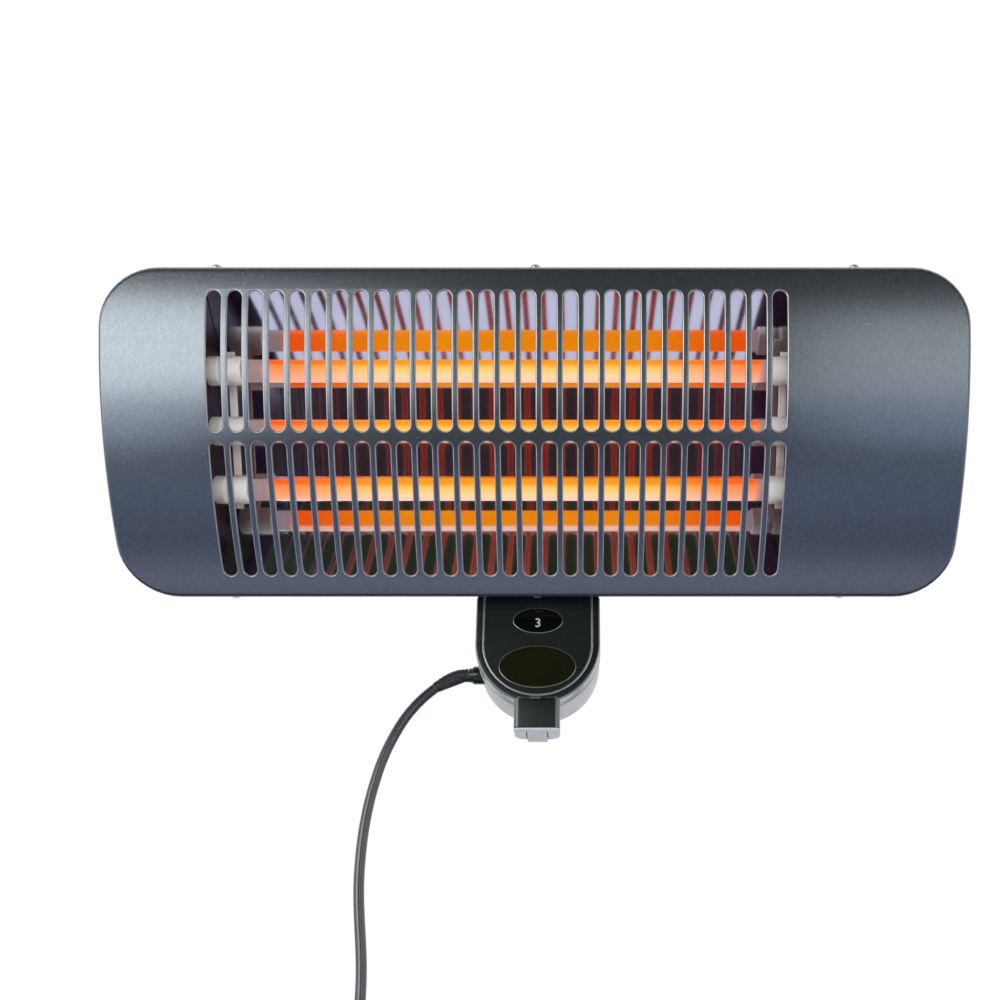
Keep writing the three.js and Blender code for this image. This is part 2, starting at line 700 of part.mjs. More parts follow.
function buildReflector(head) {
  const mouth = REFLECTOR_MOUTH_HALF;
  const lip = bowDepth(mouth, PANEL_SHEET) + 2 * SEAT_GAP + REFLECTOR_SHEET;
  const line = [
    point(lip, mouth),
    point(flareDepth(mouth), mouth),
    point(REFLECTOR_BACK_Y, TUBE_LIFT + REFLECTOR_BACK_HALF),
    point(REFLECTOR_BACK_Y, TUBE_LIFT - REFLECTOR_BACK_HALF),
    point(flareDepth(-mouth), -mouth),
    point(lip, -mouth),
  ];
  const outline = sheetOutline(line, -REFLECTOR_SHEET);
  const half = REFLECTOR_WIDTH / 2 - SEAT_GAP;
  piece(head, 'reflector', 'mirror', sideSolid(outline, REFLECTOR_X - half, REFLECTOR_X + half));
}

const tubeHeights = [TUBE_LIFT + TUBE_SPACING, TUBE_LIFT, TUBE_LIFT - TUBE_SPACING];
const tubeNames = ['top', 'middle', 'bottom'];

function buildEndPlates(head) {
  const mouth = REFLECTOR_MOUTH_HALF + REFLECTOR_SHEET;
  const steps = 8;
  const front = Array.from({ length: steps + 1 }, (_, i) => {
    const z = mouth - (2 * mouth * i) / steps;
    return point(bowDepth(z, PANEL_SHEET) + 2 * SEAT_GAP, z);
  });
  const back = HOUSING_INNER_BACK - SEAT_GAP;
  const backHalf = housingHalfHeight(back) - 2 * SEAT_GAP;
  const shoulder = bowDepth(mouth, PANEL_SHEET) + REFLECTOR_BACK_Y / 3;
  const outline = [
    ...front, point(shoulder, -mouth), point(back, -backHalf), point(back, backHalf), point(shoulder, mouth),
  ];
  const holes = tubeHeights.map((z) => {
    const hole = rod(CAP_NECK_DIAMETER / 2 + RUNNING_GAP, -REFLECTOR_WIDTH, REFLECTOR_WIDTH, RIGHT, 14);
    hole.translate(REFLECTOR_X, TUBE_Y, z);
    return hole;
  });
  const plate = (left) => cut(sideSolid(outline, left, left + END_PLATE_SHEET), holes);
  const half = REFLECTOR_WIDTH / 2;
  piece(head, 'reflector_end_left', 'steel', plate(REFLECTOR_X - half - END_PLATE_SHEET));
  piece(head, 'reflector_end_right', 'steel', plate(REFLECTOR_X + half));
}

function capSolid(direction) {
  const outer = CAP_DIAMETER / 2;
  const socket = TUBE_DIAMETER / 2 + RUNNING_GAP;
  const neck = CAP_NECK_DIAMETER / 2;
  const lead = COIL_WIRE / 2 + RUNNING_GAP;
  const floor = CAP_LENGTH - CAP_SOCKET;
  const profile = [
    [lead, -CAP_NECK_LENGTH], [neck, -CAP_NECK_LENGTH], [neck, 0], [outer, 0],
    [outer, CAP_LENGTH - 1], [outer - 1, CAP_LENGTH], [socket, CAP_LENGTH], [socket, floor],
    [lead, floor], [lead, -CAP_NECK_LENGTH],
  ];
  return turned(profile, direction, 12);
}

function buildTubes(head) {
  const half = REFLECTOR_WIDTH / 2 - SEAT_GAP;
  const outer = TUBE_DIAMETER / 2;
  const inner = outer - TUBE_WALL;
  const glass = [
    [inner, -TUBE_LENGTH / 2], [outer, -TUBE_LENGTH / 2], [outer, TUBE_LENGTH / 2],
    [inner, TUBE_LENGTH / 2], [inner, -TUBE_LENGTH / 2],
  ];
  tubeHeights.forEach((z, i) => {
    const leftCap = piece(head, `tube_cap_left_${tubeNames[i]}`, 'ceramic', capSolid(RIGHT));
    const rightCap = piece(head, `tube_cap_right_${tubeNames[i]}`, 'ceramic', capSolid(LEFT));
    const tube = piece(head, `quartz_tube_${tubeNames[i]}`, 'quartz', turned(glass, RIGHT, 14));
    leftCap.position.set(REFLECTOR_X - half, TUBE_Y, z);
    rightCap.position.set(REFLECTOR_X + half, TUBE_Y, z);
    tube.position.set(REFLECTOR_X, TUBE_Y, z);
  });
}

// A coil of heating wire about the X axis, with a straight tail on the axis at each end.
function heatingCoilPoints() {
  const radius = COIL_DIAMETER / 2;
  const steps = COIL_CURLS * 8;
  const wound = TUBE_LENGTH / 2 - 2 * CAP_SOCKET;
  const end = TUBE_LENGTH / 2 + (CAP_LENGTH - CAP_SOCKET) + CAP_NECK_LENGTH + COIL_TAIL;
  const curls = Array.from({ length: steps + 1 }, (_, i) => {
    const share = i / steps;
    const angle = 2 * Math.PI * COIL_CURLS * share;
    const grow = Math.min(1, share * COIL_CURLS, (1 - share) * COIL_CURLS);
    const here = radius * grow;
    return [wound * (2 * share - 1), here * Math.cos(angle), here * Math.sin(angle)];
  });
  return [[-end, 0, 0], [-wound - 4, 0, 0], ...curls, [wound + 4, 0, 0], [end, 0, 0]];
}

function buildHeatingCoils(head) {
  const points = heatingCoilPoints();
  const solid = woundTube(points, COIL_WIRE / 2, 5);
  console.log('heating coil, least gap to itself, mm:', leastGap(points, COIL_WIRE / 2).toFixed(2));
  tubeHeights.forEach((z, i) => {
    piece(head, `heating_coil_${tubeNames[i]}`, 'wire', solid.clone()).position.set(REFLECTOR_X, TUBE_Y, z);
  });
}

// Narrow rails behind the caps and the strip that joins the left ends of the three coils.
function buildRailsAndLink(head) {
  const half = REFLECTOR_WIDTH / 2;
  const reach = TUBE_SPACING + CAP_DIAMETER * 0.7;
  const railX = half - CAP_LENGTH / 2;
  const railY = TUBE_Y + CAP_DIAMETER / 2 + SEAT_GAP + RAIL_SHEET / 2;
  const rail = (x) => boxSolid(RAIL_WIDTH, RAIL_SHEET, 2 * reach, x, railY, TUBE_LIFT);
  piece(head, 'cap_rail_left', 'ceramic', rail(REFLECTOR_X - railX));
  piece(head, 'cap_rail_right', 'ceramic', rail(REFLECTOR_X + railX));
  const linkRight = REFLECTOR_X - half - CAP_NECK_LENGTH;
  const bar = boxSolid(
    LINK_SHEET, LINK_WIDTH, 2 * TUBE_SPACING + LINK_WIDTH, linkRight - LINK_SHEET / 2, TUBE_Y, TUBE_LIFT,
  );
  const holes = tubeHeights.map((z) => {
    const hole = rod(COIL_WIRE / 2 + RUNNING_GAP, linkRight - 3, linkRight + 2, RIGHT, 10);
    hole.translate(0, TUBE_Y, z);
    return hole;
  });
  piece(head, 'neutral_link_strip', 'brass', cut(bar, holes));
}

function buildConnectionSpace(head) {
  const plateX = REFLECTOR_X + REFLECTOR_WIDTH / 2 + END_PLATE_SHEET;
  const blockBack = HOUSING_INNER_BACK - SEAT_GAP;
  const blockX = housingHalfWidth(blockBack) - TERMINAL_MARGIN - TERMINAL_WIDTH;
  const blockY = blockBack - TERMINAL_DEPTH / 2;
  const middleX = blockX + TERMINAL_WIDTH / 2;
  const block = boxSolid(TERMINAL_WIDTH, TERMINAL_DEPTH, TERMINAL_HEIGHT, middleX, blockY, TUBE_LIFT);
  const grooves = [-0.5, 0.5].map((k) => boxSolid(
    TERMINAL_WIDTH + 2, 3, 2, middleX, blockBack - TERMINAL_DEPTH, TUBE_LIFT + k * LEAD_PITCH,
  ));
  piece(head, 'terminal_block', 'ceramic', cut(block, grooves));

  const coilEnd = TUBE_LENGTH / 2 + (CAP_LENGTH - CAP_SOCKET) + CAP_NECK_LENGTH + COIL_TAIL;
  const start = REFLECTOR_X + coilEnd + SEAT_GAP;
  const end = blockX - SEAT_GAP;
  tubeHeights.forEach((z, i) => {
    const blockZ = TUBE_LIFT + (1 - i) * LEAD_PITCH;
    const points = [
      [start, TUBE_Y, z], [start + LEAD_DIAMETER, TUBE_Y, z],
      [(start + end) / 2, (TUBE_Y + blockY) / 2, (z + blockZ) / 2],
      [end - LEAD_DIAMETER, blockY, blockZ], [end, blockY, blockZ],
    ];
    piece(head, `supply_lead_${tubeNames[i]}`, 'insulation', tubeAlong(points, LEAD_DIAMETER, 6, 10));
  });

  const radius = CUTOUT_DIAMETER / 2;
  const profile = [
    [0, 0], [radius, 0], [radius, CUTOUT_LENGTH * 0.5], [radius * 0.6, CUTOUT_LENGTH * 0.6],
    [radius * 0.6, CUTOUT_LENGTH], [0, CUTOUT_LENGTH],
  ];
  piece(head, 'thermal_cutout', 'black', turned(profile, RIGHT, 16))
    .position.set(plateX + SEAT_GAP, TUBE_Y + CUTOUT_DIAMETER / 2, CUTOUT_Z);
}

// A sheet plate across the housing's back, with two ears that reach back to the hinge line.
function buildTiltBracket(head) {
  const front = HOUSING_DEPTH + SEAT_GAP;
  const back = front + TILT_SHEET;
  const plate = depthSolid([
    point(-TILT_EAR_X - TILT_SHEET, TILT_PLATE_BOTTOM), point(TILT_EAR_X + TILT_SHEET, TILT_PLATE_BOTTOM),
    point(TILT_EAR_X + TILT_SHEET, TILT_PLATE_TOP), point(-TILT_EAR_X - TILT_SHEET, TILT_PLATE_TOP),
  ], front, back);
  const nose = Array.from({ length: 9 }, (_, i) => {
    const angle = THREE.MathUtils.degToRad(-70 + (140 * i) / 8);
    const [y, z] = [TILT_EAR_RADIUS * Math.cos(angle), TILT_EAR_RADIUS * Math.sin(angle)];
    return point(HINGE_Y + y, z - HINGE_DROP);
  });
  const ear = [point(front, TILT_PLATE_TOP), point(front, TILT_PLATE_BOTTOM), ...nose];
  const pivot = rod(PIVOT_DIAMETER / 2 + RUNNING_GAP, -KNOB_X, KNOB_X, RIGHT, 14);
  pivot.translate(0, HINGE_Y, -HINGE_DROP);
  const whole = join([
    plate,
    sideSolid(ear, TILT_EAR_X, TILT_EAR_X + TILT_SHEET),
    sideSolid(ear, -TILT_EAR_X - TILT_SHEET, -TILT_EAR_X),
  ]);
  const through = [front - 1, back + 1];
  const entry = leadEntryHole(INNER_LEAD_DIAMETER / 2 + RUNNING_GAP, ...through);
  piece(head, 'tilt_bracket', 'housing', cut(whole, [pivot, entry, ...bracketScrewHoles(...through)]));

  [['left', -BRACKET_SCREW_SPREAD], ['right', BRACKET_SCREW_SPREAD]].forEach(([side, x]) => {
    const solid = screwSolid(
      BRACKET_SCREW_HEAD, BRACKET_SCREW_RISE, BRACKET_SCREW_SHANK, BRACKET_SCREW_LENGTH, BACK,
    );
    piece(head, `tilt_bracket_screw_${side}`, 'steel', solid)
      .position.set(x, back + SEAT_GAP, -TILT_SCREW_DROP);
  });
}

// The head's end of the supply lead: it starts on the hinge line, so tilting only twists it.
function buildHeadLead(head) {
  const steps = 6;
  const bend = Array.from({ length: steps + 1 }, (_, i) => {
    const angle = (Math.PI / 2) * (i / steps);
    return [
      INNER_LEAD_X + 2 + INNER_LEAD_BEND * Math.sin(angle),
      HINGE_Y - INNER_LEAD_BEND * (1 - Math.cos(angle)),
      -HINGE_DROP,
    ];
  });
  const points = [
    [INNER_LEAD_X + SEAT_GAP, HINGE_Y, -HINGE_DROP],
    ...bend,
    [INNER_LEAD_X + 2 + INNER_LEAD_BEND, HOUSING_INNER_BACK - 5, -HINGE_DROP],
  ];
  piece(head, 'head_lead', 'cord', tubeAlong(points, INNER_LEAD_DIAMETER, 7, 9));
}

// ---- The wall bracket and the tilt joint's hardware ------------------------------------------

// The hinge line's place before the wall.
const hingeY = HEAD_CENTRE_Y + HINGE_Y * Math.cos(HEAD_TILT) + HINGE_DROP * Math.sin(HEAD_TILT);
const hingeZ = HEAD_CENTRE_Z + HINGE_Y * Math.sin(HEAD_TILT) - HINGE_DROP * Math.cos(HEAD_TILT);

function keyholeCutters() {
  const entryZ = KEYHOLE_Z - KEYHOLE_RISE;
  const front = -BRACKET_SHEET - 1;
  return [-KEYHOLE_X, KEYHOLE_X].flatMap((x) => [
    depthSolid(moveOutline(circleOutline(KEYHOLE_HEAD / 2, 14), x, entryZ), front, 1),
    depthSolid(slotOutline(x, entryZ, KEYHOLE_Z + KEYHOLE_SLOT / 2, KEYHOLE_SLOT, 4), front, 1),
  ]);
}

function boxScrewHoles(radius, front, back) {
  return [-BOX_SCREW_SPREAD, BOX_SCREW_SPREAD].map((x) => {
    return depthSolid(moveOutline(circleOutline(radius, 10), x, BOX_SCREW_Z), front, back);
  });
}

function buildWallBracket(base) {
  const wide = BRACKET_HALF_WIDTH;
  const stem = BRACKET_STEM_HALF_WIDTH;
  const plate = depthSolid([
    point(-stem, BRACKET_STEM_BOTTOM), point(stem, BRACKET_STEM_BOTTOM), point(stem, BRACKET_SHOULDER),
    point(wide, BRACKET_SHOULDER), point(wide, BRACKET_TOP), point(-wide, BRACKET_TOP),
    point(-wide, BRACKET_SHOULDER), point(-stem, BRACKET_SHOULDER),
  ], -BRACKET_SHEET, 0);
  const nose = Array.from({ length: 11 }, (_, i) => {
    const angle = THREE.MathUtils.degToRad(110 + (160 * i) / 10);
    return point(hingeY + ARM_RADIUS * Math.cos(angle), hingeZ + ARM_RADIUS * Math.sin(angle));
  });
  const root = -BRACKET_SHEET / 2;
  const arm = [point(root, hingeZ + 2 * ARM_RADIUS), ...nose, point(root, hingeZ - 3 * ARM_RADIUS)];
  const pivot = rod(PIVOT_DIAMETER / 2 + RUNNING_GAP, -KNOB_X, KNOB_X, RIGHT, 14);
  pivot.translate(0, hingeY, hingeZ);
  const whole = join([
    plate,
    sideSolid(arm, ARM_X, ARM_X + ARM_SHEET),
    sideSolid(arm, -ARM_X - ARM_SHEET, -ARM_X),
  ]);
  const screws = boxScrewHoles(BOX_SCREW_SHANK / 2 + RUNNING_GAP, -BRACKET_SHEET - 1, 1);
  piece(base, 'wall_bracket', 'housing', cut(whole, [pivot, ...keyholeCutters(), ...screws]));
}

function buildPivots(base) {
  const shank = PIVOT_DIAMETER / 2;
  const head = PIVOT_HEAD_WIDTH / 2;
  const seat = TILT_EAR_X - SEAT_GAP;
  const tip = KNOB_X + KNOB_LENGTH - KNOB_CROWN - SEAT_GAP;
  const profile = [
    [0, seat - PIVOT_HEAD_LENGTH], [head, seat - PIVOT_HEAD_LENGTH], [head, seat], [shank, seat],
    [shank, tip], [0, tip],
  ];
  piece(base, 'pivot_bolt_left', 'steel', turned(profile, LEFT, 12)).position.set(0, hingeY, hingeZ);
  piece(base, 'pivot_bolt_right', 'steel', turned(profile, RIGHT, 12)).position.set(0, hingeY, hingeZ);
}

// A lobed knob on the end of a pivot bolt, with a blind bore for the bolt.
function knobSolid(side) {
  const outline = Array.from({ length: KNOB_LOBES * 5 }, (_, i) => {
    const angle = (2 * Math.PI * i) / (KNOB_LOBES * 5);
    const radius = KNOB_RADIUS - KNOB_LOBE_DEPTH * (1 - Math.cos(KNOB_LOBES * angle)) / 2;
    return point(radius * Math.cos(angle), radius * Math.sin(angle));
  });
  const near = side * KNOB_X;
  const far = side * (KNOB_X + KNOB_LENGTH);
  const body = sideSolid(outline, Math.min(near, far), Math.max(near, far));
  const bottom = side * (KNOB_X + KNOB_LENGTH - KNOB_CROWN);
  const ends = [near - side, bottom];
  const bore = rod(PIVOT_DIAMETER / 2 + RUNNING_GAP, Math.min(...ends), Math.max(...ends), RIGHT, 12);
  return cut(body, [bore]);
}

function buildKnobs(base) {
  piece(base, 'clamp_knob_left', 'black', knobSolid(-1)).position.set(0, hingeY, hingeZ);
  piece(base, 'clamp_knob_right', 'black', knobSolid(1)).position.set(0, hingeY, hingeZ);
}

// ---- The control box ---------------------------------------------------------------------------

// The box's outline: straight sides, small upper corners and a half-round bottom.
function boxOutline(inset) {
  const half = BOX_HALF_WIDTH - inset;
  const upper = Math.max(BOX_TOP_RADIUS - inset, 0.5);
  return roundedOutline(half, BOX_BOTTOM + inset, BOX_TOP - inset, half - 0.5, upper, 7);
}

function windowOutline(width, height, z, grow) {
  return moveOutline(ellipseOutline(width + 2 * grow, height + 2 * grow, 24), 0, z);
}

function buildFrontCover(base) {
  const front = BOX_FRONT_Y;
  const rear = COVER_REAR_Y - SEAT_GAP;
  const through = [front - 1, front + BOX_WALL + 1];
  const displayHole = windowOutline(DISPLAY_WIDTH, DISPLAY_HEIGHT, DISPLAY_Z, SEAT_GAP);
  const receiverHole = windowOutline(RECEIVER_WIDTH, RECEIVER_HEIGHT, RECEIVER_Z, SEAT_GAP);
  const shell = cut(depthSolid(boxOutline(0), front, rear), [
    depthSolid(boxOutline(BOX_WALL), front + BOX_WALL, rear + 1),
    depthSolid(displayHole, ...through),
    depthSolid(receiverHole, ...through),
  ]);
  const rim = cut(depthSolid(boxOutline(RIM_INSET), front - RIM_RISE, front + BOX_WALL / 2), [
    depthSolid(boxOutline(RIM_INSET + RIM_WIDTH), front - RIM_RISE - 1, front + BOX_WALL),
  ]);
  piece(base, 'control_box_cover', 'black', join([shell, rim]));
}

function buildWindow(base, name, look, width, height, z) {
  const front = BOX_FRONT_Y;
  const lipFront = front + BOX_WALL + SEAT_GAP;
  const back = lipFront + WINDOW_LIP_DEPTH;
  const pane = depthSolid(windowOutline(width, height, z, 0), front - WINDOW_RISE, back);
  const lip = depthSolid(windowOutline(width, height, z, WINDOW_LIP), lipFront, back);
  piece(base, name, look, join([pane, lip]));
}

// The numeral three in straight strokes, as one piece.
function buildDigit(base) {
  const right = DIGIT_WIDTH / 2;
  const left = -right;
  const top = DISPLAY_Z - DIGIT_DROP + DIGIT_HEIGHT / 2;
  const bottom = top - DIGIT_HEIGHT;
  const middle = (top + bottom) / 2;
  const stroke = DIGIT_STROKE;
  const outline = [
    point(left, bottom), point(right, bottom), point(right, top), point(left, top),
    point(left, top - stroke), point(right - stroke, top - stroke),
    point(right - stroke, middle + stroke / 2), point(left + stroke, middle + stroke / 2),
    point(left + stroke, middle - stroke / 2), point(right - stroke, middle - stroke / 2),
    point(right - stroke, bottom + stroke), point(left, bottom + stroke),
  ];
  const back = BOX_FRONT_Y - WINDOW_RISE - SEAT_GAP / 3;
  piece(base, 'display_digit', 'pale', depthSolid(outline, back - DIGIT_DEPTH, back));
}

// Where the switch block's body stands in the box's lower wall and under it.
function switchOutline(inset) {
  const half = SWITCH_WIDTH / 2 - inset;
  const outline = roundedOutline(
    half, -SWITCH_DEPTH / 2 + inset, SWITCH_DEPTH / 2 - inset, 2, SWITCH_CORNER, 4,
  );
  return moveOutline(outline, 0, SWITCH_FRONT_Y + SWITCH_DEPTH / 2);
}

function boardPosts() {
  const spread = BOARD_WIDTH / 2 - POST_INSET;
  const z = BOARD_Z + BOARD_HEIGHT / 2 - POST_INSET;
  return [-spread, spread].map((x) => {
    const outline = moveOutline(circleOutline(POST_DIAMETER / 2, 10), x, z);
    return depthSolid(outline, BOARD_Y + BOARD_SHEET + SEAT_GAP, BOX_REAR_Y - BOX_WALL / 2);
  });
}

function buildRearShell(base) {
  const outer = depthSolid(boxOutline(0), COVER_REAR_Y, BOX_REAR_Y);
  const hollow = depthSolid(boxOutline(BOX_WALL), COVER_REAR_Y - 1, BOX_REAR_Y - BOX_WALL);
  const cableHole = rod(GLAND_SPIGOT_DIAMETER / 2 + RUNNING_GAP, GLAND_INSIDE, BOX_HALF_WIDTH + 2, LEFT, 14);
  cableHole.translate(0, GLAND_Y, GLAND_Z);
  const leadHole = rod(INNER_LEAD_DIAMETER / 2 + RUNNING_GAP, BOX_TOP - BOX_WALL - 1, BOX_TOP + 1, UP, 12);
  leadHole.translate(INNER_LEAD_BOX_X, INNER_LEAD_BOX_Y, 0);
  const screws = boxScrewHoles(BOX_SCREW_SHANK / 2 + RUNNING_GAP, BOX_REAR_Y - BOX_WALL - 1, BOX_REAR_Y + 1);
  const shell = join([cut(outer, [hollow]), ...boardPosts()]);
  piece(base, 'control_box_shell', 'pale', cut(shell, [cableHole, leadHole, ...screws]));
}

function buildBoxScrews(base) {
  [['left', -BOX_SCREW_SPREAD], ['right', BOX_SCREW_SPREAD]].forEach(([side, x]) => {
    const length = BOX_WALL + SEAT_GAP * 2 + BRACKET_SHEET - 1;
    const solid = screwSolid(BOX_SCREW_HEAD, BOX_SCREW_RISE, BOX_SCREW_SHANK, length, FRONT);
    piece(base, `box_screw_${side}`, 'steel', solid)
      .position.set(x, BOX_REAR_Y - BOX_WALL - SEAT_GAP, BOX_SCREW_Z);
  });
}

function buildElectronics(base) {
  const board = boxSolid(
    BOARD_WIDTH, BOARD_SHEET, BOARD_HEIGHT, 0, BOARD_Y + BOARD_SHEET / 2, BOARD_Z,
  );
  piece(base, 'control_board', 'board', board);
  const relayY = BOARD_Y - SEAT_GAP - RELAY_DEPTH / 2;
  const relay = boxSolid(
    RELAY_WIDTH, RELAY_DEPTH, RELAY_HEIGHT, BOARD_WIDTH / 4, relayY, BOARD_Z + BOARD_HEIGHT / 4,
  );
  piece(base, 'relay', 'blue', relay);
}

// The block that carries the rocker: its top follows the box's round bottom with a seat gap.
function buildSwitchBlock(base) {
  const block = heightSolid(switchOutline(0), SWITCH_BOTTOM, BOX_BOTTOM + SWITCH_DEPTH / 2);
  const boxBody = depthSolid(boxOutline(-SEAT_GAP), SWITCH_FRONT_Y - 2, BOX_REAR_Y);
  const pocket = boxSolid(
    ROCKER_WIDTH + 2 * ROCKER_GAP, ROCKER_LENGTH + 4 * ROCKER_GAP, 20,
    0, ROCKER_Y, ROCKER_PIVOT_Z + ROCKER_PIVOT_DIAMETER - 10,
  );
  const reach = ROCKER_WIDTH / 2 + ROCKER_PIN_REACH + SLIDE_GAP;
  const pin = rod(ROCKER_PIVOT_DIAMETER / 2 + RUNNING_GAP, -reach, reach, RIGHT, 12);
  pin.translate(0, ROCKER_Y, ROCKER_PIVOT_Z);
  piece(base, 'switch_block', 'black', cut(block, [boxBody, pocket, pin]));

  const plate = heightSolid(switchOutline(0.6), BEZEL_FACE_Z, BEZEL_FACE_Z + BEZEL_SHEET);
  const opening = boxSolid(
    ROCKER_WIDTH + 2 * ROCKER_GAP, ROCKER_LENGTH + 4 * ROCKER_GAP, 8, 0, ROCKER_Y, BEZEL_FACE_Z,
  );
  piece(base, 'switch_bezel', 'pale', cut(plate, [opening]));
}

// The rocker stands in its on position: the front half is pressed in and the rear half stands out.
function buildRocker(base) {
  const half = ROCKER_LENGTH / 2;
  const drop = half * Math.tan(ROCKER_ANGLE);
  const outline = [
    point(-half, -ROCKER_FACE - drop), point(0, -ROCKER_FACE), point(half, -ROCKER_FACE - drop),
    point(half, 0.4), point(-half, 0.4),
  ];
  const body = sideSolid(outline, -ROCKER_WIDTH / 2, ROCKER_WIDTH / 2);
  const reach = ROCKER_WIDTH / 2 + ROCKER_PIN_REACH;
  const pin = rod(ROCKER_PIVOT_DIAMETER / 2, -reach, reach, RIGHT, 12);
  const rocker = piece(base, 'rocker_switch', 'pale', join([body, pin]));
  rocker.position.set(0, ROCKER_Y, ROCKER_PIVOT_Z);
  rocker.rotation.x = -ROCKER_ANGLE;
}

// The gland's flange follows the box's round side, and its spigot passes through the wall.
function buildGlandAndBoxLead(base) {
  const flange = GLAND_FLANGE_DIAMETER / 2;
  const barrel = GLAND_DIAMETER / 2;
  const seat = BOX_HALF_WIDTH + SEAT_GAP;
  const step = seat + GLAND_FLANGE_LENGTH;
  const tip = seat + GLAND_LENGTH;
  const profile = [
    [0, GLAND_INSIDE], [flange, GLAND_INSIDE], [flange, step], [barrel, step],
    [barrel, tip - 0.8], [barrel - 0.8, tip], [0, tip],
  ];
  const outer = turned(profile, LEFT, 14);
  outer.translate(0, GLAND_Y, GLAND_Z);
  const boxBody = depthSolid(boxOutline(-SEAT_GAP), BOX_FRONT_Y, BOX_REAR_Y);
  const spigot = rod(GLAND_SPIGOT_DIAMETER / 2, GLAND_INSIDE, step, LEFT, 14);
  spigot.translate(0, GLAND_Y, GLAND_Z);
  piece(base, 'cable_gland', 'black', join([cut(outer, [boxBody]), spigot]));

  const x = INNER_LEAD_BOX_X;
  const y = INNER_LEAD_BOX_Y;
  const points = [
    [x, y, BOX_TOP - BOX_WALL - 3], [x, y, BOX_TOP + 12], [x + 2, y - 1, hingeZ - 46],
    [x + 8, y - 8, hingeZ - 22], [x + 18, hingeY + 6, hingeZ - 5],
    [INNER_LEAD_X - 10, hingeY, hingeZ], [INNER_LEAD_X, hingeY, hingeZ],
  ];
  piece(base, 'box_lead', 'cord', tubeAlong(points, INNER_LEAD_DIAMETER, 7, 18));
}

// ---- The mains lead ------------------------------------------------------------------------------

// The coil's points: a straight lead-in, a bend on to the ring, one layer wound in, the other wound out,
// and a straight tail that hangs from the ring's left side. The lead climbs from one layer to the other
// in the half turn where the spiral reverses.
function ringPoints() {
  const [startX, y, startZ] = CORD_ROUTE.at(-1);
  const bendTop = startZ - SEAT_GAP - RING_LEAD_STRAIGHT;
  const turn = RING_ENTRY - Math.PI / 2;
  const bend = RING_LEAD_BEND;
  const entryX = startX - bend * (1 - Math.cos(Math.PI / 2 - turn));
  const entryZ = bendTop - bend * Math.sin(Math.PI / 2 - turn);
  const centreX = entryX - RING_OUTER_RADIUS * Math.cos(RING_ENTRY);
  const centreZ = entryZ - RING_OUTER_RADIUS * Math.sin(RING_ENTRY);
  const front = y - RING_LAYER_STEP / 2;
  const points = [[startX, y, startZ - SEAT_GAP]];
  const bendSteps = 6;
  for (let i = 0; i < bendSteps; i += 1) {
    const share = i / bendSteps;
    const angle = (Math.PI / 2 - turn) * share;
    points.push([
      startX - bend * (1 - Math.cos(angle)),
      THREE.MathUtils.lerp(y, front, THREE.MathUtils.smoothstep(share, 0, 1)),
      bendTop - bend * Math.sin(angle),
    ]);
  }
  const middle = Math.PI * RING_LOOPS;
  const step = (2 * Math.PI) / RING_STEPS_PER_LOOP;
  const whole = 2 * middle + (Math.PI - RING_ENTRY);
  const count = Math.round(whole / step);
  for (let i = 0; i <= count; i += 1) {
    const gone = (whole * i) / count;
    const across = THREE.MathUtils.smoothstep(gone, middle - Math.PI / 2, middle + Math.PI / 2);
    const radius = RING_INNER_RADIUS + (RING_STEP * Math.abs(gone - middle)) / (2 * Math.PI);
    const angle = RING_ENTRY + gone;
    points.push([
      centreX + radius * Math.cos(angle),
      front + RING_LAYER_STEP * across,
      centreZ + radius * Math.sin(angle),
    ]);
  }
  const [tailX, tailY, tailZ] = points.at(-1);
  points.push([tailX, tailY, tailZ - RING_TAIL / 2]);
  points.push([tailX, tailY, tailZ - RING_TAIL]);
  return { points, centreX, centreZ, y };
}

